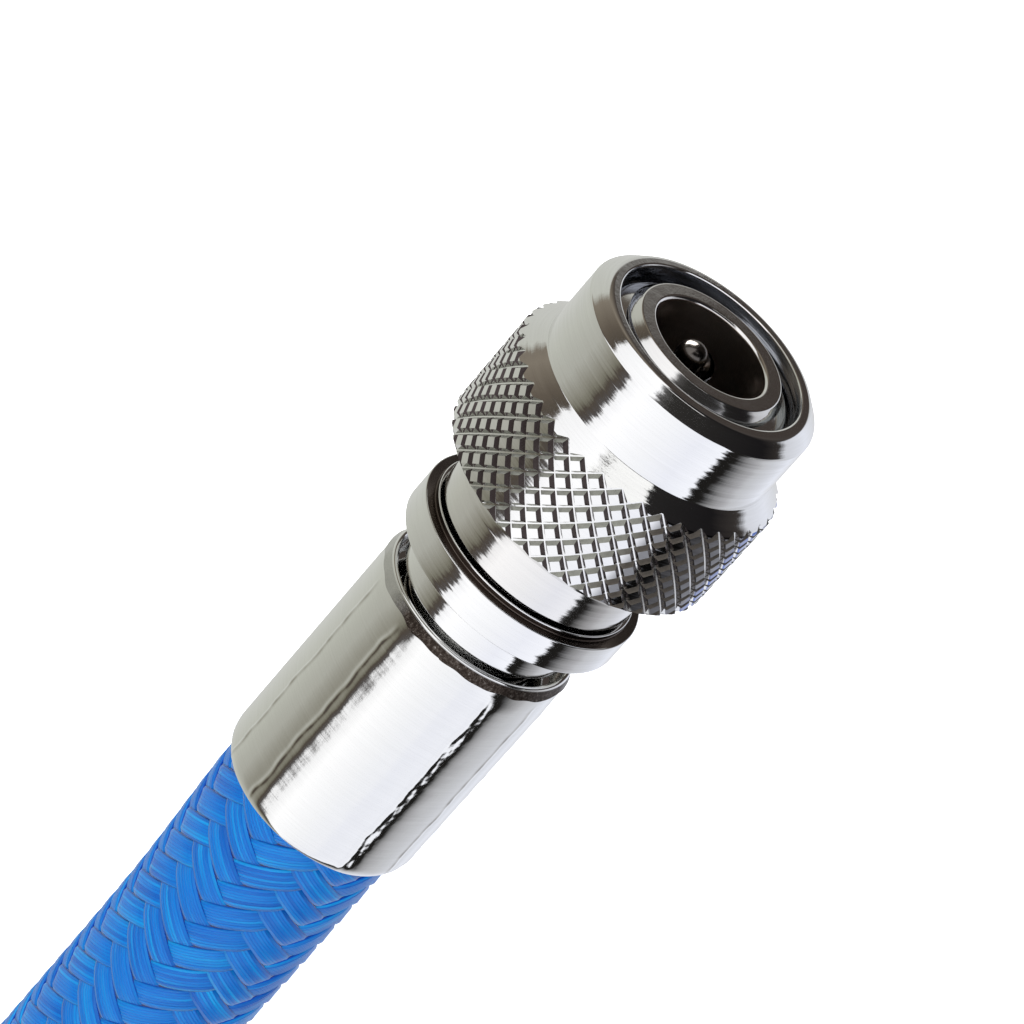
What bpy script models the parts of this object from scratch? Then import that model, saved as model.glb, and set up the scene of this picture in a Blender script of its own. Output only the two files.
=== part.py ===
"""Low-pressure inflator hose with a knurled quick-release coupling.

The coupling lies along X with its mouth towards +X and its knurl on the floor.
The hose leaves it towards -X, lies on the floor, turns back in one wide bend
and ends in a hexagonal threaded fitting beside the coupling.
Sizes are in millimetres and are turned into metres where a mesh is made.
"Back" counts millimetres from the mouth of the coupling towards the hose.
"""
import math

import bmesh
import bpy
from mathutils import Matrix, Vector

MM = 0.001

# Clearances
SEAT_GAP = 0.12        # small parts that sit on each other
RUN_GAP = 0.15         # the sleeve on the body, the core in its passage
JOIN_GAP = 0.30        # larger pieces that meet face to face
FLOOR_GAP = 0.04       # hose over the floor
EDGE = 0.10            # small broken edges

# Release sleeve
KNURL_R = 9.50         # over the points of the knurl
KNURL_DEPTH = 0.32
KNURL_COUNT = 40       # diamonds round the sleeve
KNURL_ROWS = 10        # half rows along the sleeve, an even number
KNURL_PITCH = 1.50     # one diamond along the axis
KNURL_FLANK = 0.25     # width of a diamond's sloping side
COLLAR_R = 8.17
COLLAR_END = 5.30      # back to where the chamfer of the knurl begins
RIM_OUTER_R = 7.24
RIM_BEVEL = 0.90       # length of the polished bevel
SLEEVE_LAND_END = 5.60
REAR_CHAMFER = 0.30

# Coupler body
NOSE_R = 5.06          # outside of the flat ring at the mouth
NOSE_CONE_R = 5.55     # where the cone of the nose ends
NOSE_LEN = 0.62
NOSE_NECK_R = 5.40     # small neck behind the cone
NOSE_NECK_LEN = 0.18
BORE_R = 3.95
BORE_CHAMFER = 0.12
BORE_DEPTH = 9.00
FLARE_END = 1.08
RING_WIRE = 0.52       # wire of the retaining ring
RING_BACK = 1.50
RING_SINK = 0.35       # depth of the ring's groove
RING_GAP_START = 25.0  # degrees, the open part of the ring
RING_GAP_END = 75.0
GUIDE_R = 7.00         # plain cylinder behind the knurl
GUIDE_START = 11.60
GUIDE_END = 17.83
SPIGOT_R = 4.40
SPIGOT_LEN = 4.57
PASSAGE_R = 2.60
REAR_PASSAGE_R = 3.00
REAR_PASSAGE_START = 14.00
ORING_GROOVE_START = 5.60
ORING_GROOVE_LEN = 1.80
ORING_GROOVE_R = 5.30
ORING_CS = 1.40

# Locking balls
BALL_COUNT = 5
BALL_R = 1.20
BALL_BACK = 3.75
BALL_PROUD = 0.54      # how far a ball stands into the bore
BALL_HOLE_IN = 1.20
BALL_HOLE_OUT = 1.56

# Springs
SPRING_WIRE = 0.60
SPRING_ROOM = 0.29     # beside the wire, to the body and to the sleeve
SPRING_TURNS = 3.5
VALVE_SPRING_WIRE = 0.30
VALVE_SPRING_R = 1.30
VALVE_SPRING_TURNS = 2.8

# Valve in the coupler
PIN_R = 0.85
PIN_TIP_BACK = 0.38
PIN_TILT = 2.3         # degrees, the pin leans a little in its guide
PIN_COLLAR_R = 1.60
PIN_COLLAR_BACK = 5.20
PIN_COLLAR_LEN = 0.50
CUP_R = 2.00
CUP_LEN = 0.90
CORE_START = 8.60
CORE_END = 14.20
CORE_BORE_R = 1.32
CORE_TAPER = 0.30      # relief at the front of the barrel
CORE_NECK_LEN = 1.20
CORE_GROOVE_START = 11.00
CORE_GROOVE_LEN = 1.20
CORE_GROOVE_R = 2.10
SEAL_THICK = 0.36

# Hose insert
FLANGE_R = 7.90
FLANGE_LEN = 2.26
BOSS_R = 7.20
BOSS_LEN = 0.40
STEP_R = 6.10
STEP_LEN = 2.66
GLAND_R = 5.60
GLAND_LEN = 1.90
SOCKET_LEN = 2.70
BODY_ORING_CS = 1.00
STEM_BORE_R = 2.20

# Crimped ferrule and the stem inside it, heights from the hose side mouth
FERRULE_LEN = 18.30
FERRULE_R = 6.95
FERRULE_WALL = 0.80
RIDGE_COUNT = 8
RIDGE_HEIGHT = 0.17
RIDGE_WIDTH = 1.00     # at its base
RIDGE_PHASE = 18.0     # degrees from the top to the first ridge
LIP_R = 6.70
LIP_LEN = 0.76
LIP_RECESS_R = 6.30
HOOK_BACK = 2.50       # from the front of the lip to the hook's rear face
HOOK_LEN = 1.30
HOOK_R = 4.50
HOOK_CLEARANCE = 0.15
NECK_R = 5.00
NECK_GAP = 0.25        # between the ferrule and the shoulder in front of it
HOOK_COLLAR = 0.60     # collar of the stem behind the hook
STEM_START = 2.00
STEM_R = 2.95
BARB_R = 3.25
BARB_FLAT = 0.40       # straight part of a barb
BARB_COUNT = 4

# End fitting
HEX_FLATS = 14.30
HEX_LEN = 8.00
HEX_CHAMFER = 0.60
UNDERCUT_R = 3.75
UNDERCUT_LEN = 2.00
THREAD_R = 4.72
THREAD_LEN = 7.45
THREAD_CHAMFER = 0.60
FITTING_ORING_CS = 1.60

# Hose
HOSE_R = 6.00
HOSE_LEN = 420.0       # between the mouths of the two ferrules
HOSE_BEND = 312.0      # length of hose in the bend
HOSE_STRAIGHT = 10.0   # straight hose next to a ferrule
HOSE_DROP = 62.0       # length in which it comes down to the floor
HOSE_LIFT = 50.0       # length in which it rises to the end fitting
HOSE_POINTS = 38
HOSE_END_GAP = 0.30

SLEEVE_STEPS = KNURL_COUNT
TURN_STEPS = 32
FERRULE_STEPS = 5 * RIDGE_COUNT
SMALL_STEPS = 20

# Lengths that follow from the ones above
KNURL_ROOT_R = KNURL_R - KNURL_DEPTH
KNURL_START = COLLAR_END + (KNURL_ROOT_R - COLLAR_R) * 0.85
KNURL_END = KNURL_START + KNURL_ROWS * KNURL_PITCH / 2
SLEEVE_END = KNURL_END + REAR_CHAMFER
SKIRT_R = GUIDE_R + JOIN_GAP
LAND_R = SKIRT_R - SPRING_WIRE - 2 * SPRING_ROOM
SLEEVE_LAND_R = LAND_R + RUN_GAP
RING_GROOVE_R = LAND_R - RING_SINK
RING_MID_R = RING_GROOVE_R + SEAT_GAP * 1.3 + RING_WIRE / 2
RELIEF_R = RING_MID_R + RING_WIRE / 2 + SEAT_GAP
BALL_OUT = BORE_R + BALL_R - BALL_PROUD
STOP_BACK = RING_BACK + RING_WIRE / 2 + SEAT_GAP
BOSS_FACE = GUIDE_END + JOIN_GAP
FLANGE_FACE = BOSS_FACE + BOSS_LEN
STEP_END = FLANGE_FACE + FLANGE_LEN + STEP_LEN
METAL_LEN = STEP_END + NECK_GAP + FERRULE_LEN
AXIS_Z = KNURL_R
X_MOUTH = METAL_LEN / 2
FAR_Z = HEX_FLATS / 2
HOSE_Z = HOSE_R + FLOOR_GAP
FERRULE_BORE_R = FERRULE_R - FERRULE_WALL
HOOK_START = FERRULE_LEN - HOOK_BACK
HOOK_GROOVE_LOW = HOOK_START - HOOK_CLEARANCE
HOSE_TOP = HOOK_GROOVE_LOW - HOOK_COLLAR - HOSE_END_GAP
SHOULDER = FERRULE_LEN + NECK_GAP
RIDGE_TOP = FERRULE_LEN - LIP_LEN - RIDGE_WIDTH
STEM_CLEAR_R = BARB_R + RUN_GAP + EDGE

CHROME = (0.62, 0.62, 0.61, 1.0)
STEEL = (0.55, 0.55, 0.55, 1.0)
BRASS = (0.63, 0.50, 0.26, 1.0)
RUBBER = (0.03, 0.03, 0.03, 1.0)
BLUE = (0.02, 0.22, 0.72, 1.0)


def clear_scene():
    for obj in list(bpy.data.objects):
        bpy.data.objects.remove(obj, do_unlink=True)


def new_collection(name):
    coll = bpy.data.collections.new(name)
    bpy.context.scene.collection.children.link(coll)
    return coll


def material(name, colour, roughness, metallic):
    mat = bpy.data.materials.new(name)
    mat.use_nodes = True
    shader = mat.node_tree.nodes["Principled BSDF"]
    shader.inputs["Base Color"].default_value = colour
    shader.inputs["Roughness"].default_value = roughness
    shader.inputs["Metallic"].default_value = metallic
    mat.diffuse_color = colour
    return mat


def axis_empty(name, place):
    """An empty whose local Z points along world +X."""
    empty = bpy.data.objects.new(name, None)
    empty.empty_display_size = 0.01
    empty.location = place
    empty.rotation_euler = (0.0, math.pi / 2, 0.0)
    parts.objects.link(empty)
    return empty


def place(obj, parent, along, tilt=0.0):
    obj.parent = parent
    obj.location = (0.0, 0.0, along * MM)
    obj.rotation_euler = (tilt, 0.0, 0.0)
    return obj


def add_object(name, mesh, mat, coll):
    obj = bpy.data.objects.new(name, mesh)
    coll.objects.link(obj)
    if mat is not None:
        mesh.materials.append(mat)
    return obj


def profile_mesh(name, points, closed):
    """Profile in the local XZ plane from (radius, height) pairs in mm."""
    mesh = bpy.data.meshes.new(name)
    verts = [(r * MM, 0.0, z * MM) for r, z in points]
    edges = [(i, i + 1) for i in range(len(verts) - 1)]
    if closed:
        edges.append((len(verts) - 1, 0))
    mesh.from_pydata(verts, edges, [])
    return mesh


def turned(name, points, mat, steps=TURN_STEPS, coll=None):
    """A turned piece: a profile with a Screw modifier.

    The points run down the outside and, for a piece with a hole, up the
    inside. A solid piece starts and ends on the axis.
    """
    closed = points[0][0] > 1e-6
    obj = add_object(name, profile_mesh(name, points, closed), mat, coll or parts)
    screw = obj.modifiers.new("turn", "SCREW")
    screw.axis = "Z"
    screw.angle = math.tau
    screw.steps = steps
    screw.render_steps = steps
    screw.use_merge_vertices = True
    screw.merge_threshold = 1e-6
    screw.use_smooth_shade = True
    return obj


def evaluated_mesh(obj):
    bpy.context.view_layer.update()
    graph = bpy.context.evaluated_depsgraph_get()
    return bpy.data.meshes.new_from_object(obj.evaluated_get(graph))


def bake(obj):
    """Replace an object's profile or curve by the mesh that it gives."""
    mesh = evaluated_mesh(obj)
    mesh.name = obj.name
    obj.modifiers.clear()
    obj.data = mesh
    return obj


def edit_mesh(obj):
    work = bmesh.new()
    work.from_mesh(obj.data)
    return work


def finish_mesh(work, obj, angle=35.0):
    work.to_mesh(obj.data)
    work.free()
    obj.data.shade_smooth()
    obj.data.set_sharp_from_angle(angle=math.radians(angle))
    obj.data.update()
    return obj


def as_cutter(obj):
    obj.hide_render = True
    obj.display_type = "WIRE"
    return obj


def boolean(obj, cutter, operation):
    mod = obj.modifiers.new(operation.lower(), "BOOLEAN")
    mod.operation = operation
    mod.solver = "EXACT"
    mod.object = cutter
    return mod


def torus(name, mid_r, section, mat, parent, along):
    """An O-ring from the torus primitive."""
    bpy.ops.mesh.primitive_torus_add(
        major_radius=mid_r * MM,
        minor_radius=section / 2 * MM,
        major_segments=24,
        minor_segments=6,
    )
    obj = bpy.context.object
    obj.name = name
    obj.data.name = name
    obj.data.materials.append(mat)
    obj.data.shade_smooth()
    for coll in list(obj.users_collection):
        coll.objects.unlink(obj)
    parts.objects.link(obj)
    return place(obj, parent, along)


def wire(name, points, thickness, mat, parent, along, resolution=2):
    """A wire along points in mm, as a curve with a round bevel and caps."""
    curve = bpy.data.curves.new(name, "CURVE")
    curve.dimensions = "3D"
    curve.bevel_depth = thickness / 2 * MM
    curve.bevel_resolution = resolution
    curve.resolution_u = 1
    curve.render_resolution_u = 0
    curve.use_fill_caps = True
    spline = curve.splines.new("POLY")
    spline.points.add(len(points) - 1)
    for point, place_mm in zip(spline.points, points):
        point.co = (place_mm[0] * MM, place_mm[1] * MM, place_mm[2] * MM, 1.0)
    obj = bpy.data.objects.new(name, curve)
    parts.objects.link(obj)
    curve.materials.append(mat)
    if parent is not None:
        place(obj, parent, along)
    return obj


def coil_points(mid_r, thickness, length, turns, per_turn):
    """Helix that starts at height 0 and climbs to the given length."""
    count = int(turns * per_turn) + 1
    rise = length - thickness
    points = []
    for i in range(count):
        share = i / (count - 1)
        angle = math.tau * turns * share
        height = thickness / 2 + rise * share
        points.append((mid_r * math.cos(angle), mid_r * math.sin(angle), height))
    return points


def back(distance):
    """Height on the coupling's axis of a point so far back from the mouth."""
    return X_MOUTH - distance


def make_body(axis):
    """Coupler body: nose, ring groove, guide, spigot and valve passage."""
    groove_front = RING_BACK - RING_WIRE / 2 - EDGE
    groove_rear = RING_BACK + RING_WIRE / 2 + EDGE
    neck_start = NOSE_LEN + EDGE
    spigot_end = GUIDE_END + SPIGOT_LEN
    groove_end = ORING_GROOVE_START + ORING_GROOVE_LEN
    wall_r = BORE_R + BORE_CHAMFER
    outline = [
        (NOSE_R, 0.0),
        (NOSE_CONE_R, NOSE_LEN),
        (NOSE_NECK_R, neck_start),
        (NOSE_NECK_R, neck_start + NOSE_NECK_LEN),
        (LAND_R, FLARE_END),
        (LAND_R, groove_front),
        (RING_GROOVE_R, groove_front),
        (RING_GROOVE_R, groove_rear),
        (LAND_R, groove_rear),
        (LAND_R, GUIDE_START),
        (GUIDE_R - 2 * EDGE, GUIDE_START),
        (GUIDE_R, GUIDE_START + 2 * EDGE),
        (GUIDE_R, GUIDE_END),
        (SPIGOT_R, GUIDE_END),
        (SPIGOT_R, spigot_end - 4 * EDGE),
        (SPIGOT_R - 4 * EDGE, spigot_end),
        (REAR_PASSAGE_R, spigot_end),
        (REAR_PASSAGE_R, REAR_PASSAGE_START + REAR_PASSAGE_R - PASSAGE_R),
        (PASSAGE_R, REAR_PASSAGE_START),
        (PASSAGE_R, BORE_DEPTH),
        (BORE_R, BORE_DEPTH),
        (BORE_R, groove_end),
        (ORING_GROOVE_R, groove_end),
        (ORING_GROOVE_R, ORING_GROOVE_START),
        (BORE_R, ORING_GROOVE_START),
        (BORE_R, BORE_CHAMFER),
        (wall_r, 0.0),
    ]
    points = [(r, -d) for r, d in outline]
    body = turned("coupler_body", points, chrome)
    place(body, axis, back(0.0))
    low = BORE_R - JOIN_GAP
    reach = LAND_R + JOIN_GAP - low
    for i in range(BALL_COUNT):
        mesh = bpy.data.meshes.new("ball_hole_%d" % (i + 1))
        work = bmesh.new()
        bmesh.ops.create_cone(
            work,
            cap_ends=True,
            segments=16,
            radius1=BALL_HOLE_IN * MM,
            radius2=BALL_HOLE_OUT * MM,
            depth=reach * MM,
        )
        work.to_mesh(mesh)
        work.free()
        cutter = as_cutter(add_object(mesh.name, mesh, None, cutters))
        cutter.parent = axis
        turn = Matrix.Rotation(ball_angle(i), 4, "Z")
        shift = Matrix.Translation(((low + reach / 2) * MM, 0.0, back(BALL_BACK) * MM))
        tip = Matrix.Rotation(math.pi / 2, 4, "Y")
        cutter.matrix_local = turn @ shift @ tip
        boolean(body, cutter, "DIFFERENCE")
    return body


def ball_angle(index):
    return math.tau * index / BALL_COUNT


def make_balls(axis):
    for i in range(BALL_COUNT):
        bpy.ops.mesh.primitive_uv_sphere_add(segments=12, ring_count=8, radius=BALL_R * MM)
        ball = bpy.context.object
        ball.name = "locking_ball_%d" % (i + 1)
        ball.data.name = ball.name
        ball.data.materials.append(steel)
        ball.data.shade_smooth()
        for coll in list(ball.users_collection):
            coll.objects.unlink(ball)
        parts.objects.link(ball)
        ball.parent = axis
        angle = ball_angle(i)
        out = BALL_OUT * MM
        ball.location = (out * math.cos(angle), out * math.sin(angle), back(BALL_BACK) * MM)


def knurl_band(work):
    """Replace the plain band of the sleeve by a diamond knurl.

    The band is divided into diamonds between helical lines, and each diamond
    is raised with an inset, which leaves the V grooves between them.
    """
    top = -KNURL_START * MM
    bottom = -KNURL_END * MM
    plain = []
    for face in work.faces:
        centre = face.calc_center_median()
        radius = math.hypot(centre.x, centre.y)
        if bottom < centre.z < top and radius > KNURL_ROOT_R * MM * 0.97:
            plain.append(face)
    bmesh.ops.delete(work, geom=plain, context="FACES_ONLY")
    step = math.tau / KNURL_COUNT
    rings = []
    for row in range(KNURL_ROWS + 1):
        shift = 0.5 * (row % 2)
        height = top + (bottom - top) * row / KNURL_ROWS
        ring = []
        for i in range(KNURL_COUNT):
            angle = step * (i + shift)
            x = KNURL_ROOT_R * MM * math.cos(angle)
            y = KNURL_ROOT_R * MM * math.sin(angle)
            ring.append(work.verts.new((x, y, height)))
        rings.append(ring)
    diamonds = []
    for row in range(KNURL_ROWS - 1):
        upper = rings[row]
        middle = rings[row + 1]
        lower = rings[row + 2]
        for i in range(KNURL_COUNT):
            left = (i - 1 + row % 2) % KNURL_COUNT
            right = (left + 1) % KNURL_COUNT
            diamonds.append(work.faces.new((upper[i], middle[left], lower[i], middle[right])))
    for i in range(KNURL_COUNT):
        nxt = (i + 1) % KNURL_COUNT
        diamonds.append(work.faces.new((rings[0][i], rings[1][i], rings[0][nxt])))
        diamonds.append(work.faces.new((rings[-1][nxt], rings[-2][i], rings[-1][i])))
    bmesh.ops.remove_doubles(work, verts=work.verts[:], dist=1e-6)
    work.normal_update()
    diamonds = [face for face in diamonds if face.is_valid]
    bmesh.ops.inset_individual(
        work,
        faces=diamonds,
        thickness=KNURL_FLANK * MM,
        depth=KNURL_DEPTH * MM,
        use_even_offset=True,
    )


def make_sleeve(axis):
    """Release sleeve: rim, bevel, collar, chamfer, knurl and inner lands."""
    outline = [
        (RIM_OUTER_R, 0.0),
        (COLLAR_R, RIM_BEVEL),
        (COLLAR_R, COLLAR_END),
        (KNURL_ROOT_R, KNURL_START),
        (KNURL_ROOT_R, KNURL_END),
        (KNURL_ROOT_R - REAR_CHAMFER, SLEEVE_END),
        (SKIRT_R, SLEEVE_END),
        (SKIRT_R, SLEEVE_LAND_END),
        (SLEEVE_LAND_R, SLEEVE_LAND_END),
        (SLEEVE_LAND_R, STOP_BACK),
        (RELIEF_R, STOP_BACK),
        (RELIEF_R, 0.0),
    ]
    sleeve = turned("release_sleeve", [(r, -d) for r, d in outline], chrome, SLEEVE_STEPS)
    bake(sleeve)
    work = edit_mesh(sleeve)
    knurl_band(work)
    bmesh.ops.recalc_face_normals(work, faces=work.faces[:])
    finish_mesh(work, sleeve, 20.0)
    return place(sleeve, axis, back(0.0))


def make_retaining_ring(axis):
    """Open wire ring in the body's groove, which stops the sleeve."""
    start = math.radians(RING_GAP_END)
    sweep = math.tau - math.radians(RING_GAP_END - RING_GAP_START)
    count = 28
    points = []
    for i in range(count):
        angle = start + sweep * i / (count - 1)
        points.append((RING_MID_R * math.cos(angle), RING_MID_R * math.sin(angle), 0.0))
    return wire("retaining_ring", points, RING_WIRE, steel, axis, back(RING_BACK))


def make_release_spring(axis):
    start = GUIDE_START - SEAT_GAP
    length = start - (SLEEVE_LAND_END + SEAT_GAP)
    mid_r = (LAND_R + SKIRT_R) / 2
    points = coil_points(mid_r, SPRING_WIRE, length, SPRING_TURNS, 12)
    return wire("release_spring", points, SPRING_WIRE, steel, axis, back(start))


def make_valve(axis):
    core_r = PASSAGE_R - RUN_GAP
    groove_end = CORE_GROOVE_START + CORE_GROOVE_LEN
    outline = [
        (core_r - CORE_TAPER, CORE_START),
        (core_r - CORE_TAPER, CORE_START + CORE_NECK_LEN),
        (core_r, CORE_START + CORE_NECK_LEN + CORE_TAPER),
        (core_r, CORE_GROOVE_START),
        (CORE_GROOVE_R, CORE_GROOVE_START),
        (CORE_GROOVE_R, groove_end),
        (core_r, groove_end),
        (core_r - CORE_TAPER, CORE_END),
        (CORE_BORE_R, CORE_END),
        (CORE_BORE_R, CORE_START),
    ]
    core = turned("valve_core_barrel", [(r, -d) for r, d in outline], brass, SMALL_STEPS)
    place(core, axis, back(0.0))

    ring_start = CORE_GROOVE_START + SEAT_GAP
    ring_end = groove_end - SEAT_GAP
    inner = CORE_GROOVE_R + EDGE
    outer = PASSAGE_R - EDGE
    outline = [(outer, ring_start), (outer, ring_end), (inner, ring_end), (inner, ring_start)]
    seal = turned("valve_core_seal", [(r, -d) for r, d in outline], white, SMALL_STEPS)
    place(seal, axis, back(0.0))

    cup_start = CORE_END + SEAT_GAP * 2 + SEAL_THICK
    pin_len = cup_start + CUP_LEN - PIN_TIP_BACK
    collar = PIN_COLLAR_BACK - PIN_TIP_BACK
    cup = cup_start - PIN_TIP_BACK
    tip = []
    for i in range(5):
        angle = math.pi / 2 * i / 4
        tip.append((PIN_R * math.sin(angle), PIN_R * 0.9 * (1 - math.cos(angle))))
    outline = tip + [
        (PIN_R, collar),
        (PIN_COLLAR_R, collar),
        (PIN_COLLAR_R, collar + PIN_COLLAR_LEN),
        (PIN_R, collar + PIN_COLLAR_LEN),
        (PIN_R, cup),
        (CUP_R, cup),
        (CUP_R, cup + CUP_LEN * 0.6),
        (PIN_R, pin_len),
        (0.0, pin_len),
    ]
    pin = turned("valve_pin", [(r, pin_len - d) for r, d in outline], steel, SMALL_STEPS)
    tilt = math.radians(-PIN_TILT)
    place(pin, axis, back(PIN_TIP_BACK + pin_len), tilt)

    seal_low = CUP_LEN + SEAT_GAP
    inner = PIN_R + SEAT_GAP
    outer = CUP_R - EDGE
    high = seal_low + SEAL_THICK
    outline = [(outer, high), (outer, seal_low), (inner, seal_low), (inner, high)]
    washer = turned("valve_seat_seal", outline, rubber, SMALL_STEPS)
    place(washer, axis, back(PIN_TIP_BACK + pin_len), tilt)

    low = CORE_START - SEAT_GAP
    high = PIN_COLLAR_BACK + PIN_COLLAR_LEN + SEAT_GAP
    points = coil_points(VALVE_SPRING_R, VALVE_SPRING_WIRE, low - high, VALVE_SPRING_TURNS, 10)
    lean = math.sin(-tilt) * (PIN_TIP_BACK + pin_len - (low + high) / 2)
    points = [(x, y + lean, z) for x, y, z in points]
    wire("valve_spring", points, VALVE_SPRING_WIRE, steel, axis, back(low))


def stem_outline(bottom_r):
    """Neck, hook groove, collar and barbs, from the neck down to the tip."""
    groove_top = HOOK_START + HOOK_LEN + HOOK_CLEARANCE
    groove_low = HOOK_GROOVE_LOW
    collar_low = groove_low - HOOK_COLLAR
    points = [
        (NECK_R, SHOULDER),
        (NECK_R, groove_top),
        (HOOK_R - HOOK_CLEARANCE, groove_top),
        (HOOK_R - HOOK_CLEARANCE, groove_low),
        (NECK_R, groove_low),
        (NECK_R, collar_low),
        (STEM_R, collar_low),
    ]
    first = HOSE_TOP - BARB_FLAT * 2
    pitch = (first - STEM_START) / BARB_COUNT
    for i in range(BARB_COUNT):
        high = first - pitch * i
        points += [(STEM_R, high), (BARB_R, high - EDGE), (BARB_R, high - BARB_FLAT)]
    points += [(bottom_r + JOIN_GAP, STEM_START), (bottom_r, STEM_START)]
    return points


def make_insert(axis):
    """Hose insert: boss, flange, step, neck and barbed stem."""
    low = back(METAL_LEN)
    step_low = SHOULDER
    flange_low = step_low + STEP_LEN
    flange_top = flange_low + FLANGE_LEN
    boss_top = flange_top + BOSS_LEN
    gland_low = boss_top - GLAND_LEN
    socket_low = gland_low - SOCKET_LEN
    socket_r = SPIGOT_R + JOIN_GAP
    outline = [
        (BOSS_R, boss_top),
        (BOSS_R, flange_top),
        (FLANGE_R - EDGE, flange_top),
        (FLANGE_R, flange_top - EDGE),
        (FLANGE_R, flange_low + EDGE),
        (FLANGE_R - EDGE, flange_low),
        (STEP_R, flange_low),
        (STEP_R, step_low + EDGE),
        (STEP_R - EDGE, step_low),
        (NECK_R, step_low),
    ]
    outline += stem_outline(STEM_BORE_R)[1:]
    outline += [
        (STEM_BORE_R, socket_low),
        (socket_r, socket_low),
        (socket_r, gland_low),
        (GLAND_R, gland_low),
        (GLAND_R, boss_top),
    ]
    insert = turned("hose_insert", outline, chrome)
    place(insert, axis, low)
    ring_r = (SPIGOT_R + GLAND_R) / 2
    height = low + gland_low + SEAT_GAP + BODY_ORING_CS / 2
    torus("body_o_ring", ring_r, BODY_ORING_CS, rubber, axis, height)
    ring_back = ORING_GROOVE_START + ORING_GROOVE_LEN / 2
    ring_r = ORING_GROOVE_R - SEAT_GAP - ORING_CS / 2
    torus("bore_o_ring", ring_r, ORING_CS, rubber, axis, back(ring_back))
    return insert


def make_ferrule(name, axis, low, mesh=None):
    """Crimped ferrule: eight die faces with raised ridges between them."""
    if mesh is not None:
        ferrule = bpy.data.objects.new(name, mesh)
        parts.objects.link(ferrule)
        return place(ferrule, axis, low)
    outline = [
        (LIP_R, FERRULE_LEN),
        (FERRULE_R + EDGE, FERRULE_LEN - LIP_LEN),
        (FERRULE_R + EDGE, RIDGE_TOP + EDGE * 3),
        (FERRULE_R, RIDGE_TOP),
        (FERRULE_R, EDGE * 5),
        (FERRULE_R - EDGE * 2, 0.0),
        (FERRULE_BORE_R, 0.0),
        (FERRULE_BORE_R, HOOK_START),
        (HOOK_R, HOOK_START),
        (HOOK_R, HOOK_START + HOOK_LEN),
        (LIP_RECESS_R, HOOK_START + HOOK_LEN),
        (LIP_RECESS_R, FERRULE_LEN - EDGE * 2),
        (LIP_R - EDGE * 2, FERRULE_LEN),
    ]
    ferrule = turned(name, outline, chrome, FERRULE_STEPS)
    bake(ferrule)
    work = edit_mesh(ferrule)
    every = FERRULE_STEPS // RIDGE_COUNT
    foot = RIDGE_WIDTH / 2 / FERRULE_R
    for vert in work.verts:
        radius = math.hypot(vert.co.x, vert.co.y)
        angle = math.atan2(vert.co.y, vert.co.x)
        index = round(angle / (math.tau / FERRULE_STEPS))
        spot = index % every
        crest = math.tau / FERRULE_STEPS * index
        on_ridge = radius > (FERRULE_R - EDGE / 2) * MM and vert.co.z < (RIDGE_TOP + EDGE) * MM
        if spot == 0:
            if on_ridge:
                radius += RIDGE_HEIGHT * MM
            turn = crest
        elif spot == 1:
            turn = crest - math.tau / FERRULE_STEPS + foot
        elif spot == every - 1:
            turn = crest + math.tau / FERRULE_STEPS - foot
        else:
            turn = crest
        turn += math.radians(RIDGE_PHASE)
        vert.co.x = radius * math.cos(turn)
        vert.co.y = radius * math.sin(turn)
    finish_mesh(work, ferrule, 12.0)
    return place(ferrule, axis, low)


def make_fitting(axis):
    """End fitting: barbed stem, hexagon, undercut and threaded stud."""
    hex_top = SHOULDER + HEX_LEN
    undercut_top = hex_top + UNDERCUT_LEN
    tip = undercut_top + THREAD_LEN
    inside = SHOULDER + HEX_LEN / 2
    outline = [
        (THREAD_R - THREAD_CHAMFER, tip),
        (THREAD_R, tip - THREAD_CHAMFER),
        (THREAD_R, undercut_top + EDGE * 3),
        (UNDERCUT_R, undercut_top),
        (UNDERCUT_R, inside),
        (NECK_R, inside),
    ]
    outline += stem_outline(STEM_BORE_R)[1:]
    outline += [(STEM_BORE_R, tip)]
    fitting = turned("end_fitting", outline, chrome)
    place(fitting, axis, 0.0)

    corner = HEX_FLATS / 2 / math.cos(math.pi / 6)
    mesh = bpy.data.meshes.new("hexagon")
    work = bmesh.new()
    bmesh.ops.create_cone(
        work,
        cap_ends=True,
        segments=6,
        radius1=corner * MM,
        radius2=corner * MM,
        depth=HEX_LEN * MM,
    )
    work.to_mesh(mesh)
    work.free()
    hexagon = as_cutter(add_object("hexagon", mesh, None, cutters))
    place(hexagon, axis, SHOULDER + HEX_LEN / 2)
    half = HEX_LEN / 2
    flat_r = HEX_FLATS / 2 - EDGE * 2
    far_r = corner + EDGE * 5
    over = half + EDGE / 10
    outline = [
        (0.0, over),
        (flat_r, over),
        (far_r, half - HEX_CHAMFER),
        (far_r, -half + HEX_CHAMFER),
        (flat_r, -over),
        (0.0, -over),
    ]
    round_off = as_cutter(turned("hexagon_round", outline, None, TURN_STEPS, cutters))
    place(round_off, axis, SHOULDER + HEX_LEN / 2)
    boolean(hexagon, round_off, "INTERSECT")
    above = tip + JOIN_GAP
    below = STEM_START - JOIN_GAP
    bore = as_cutter(turned(
        "stem_bore",
        [(0.0, above), (STEM_BORE_R, above), (STEM_BORE_R, below), (0.0, below)],
        None,
        TURN_STEPS,
        cutters,
    ))
    place(bore, axis, 0.0)
    boolean(fitting, hexagon, "UNION")
    boolean(fitting, bore, "DIFFERENCE")
    ring_r = UNDERCUT_R + SEAT_GAP + FITTING_ORING_CS / 2
    torus("fitting_o_ring", ring_r, FITTING_ORING_CS, rubber, axis, hex_top + UNDERCUT_LEN / 2)
    return fitting


def ease(share):
    share = min(max(share, 0.0), 1.0)
    return share * share * (3.0 - 2.0 * share)


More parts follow.
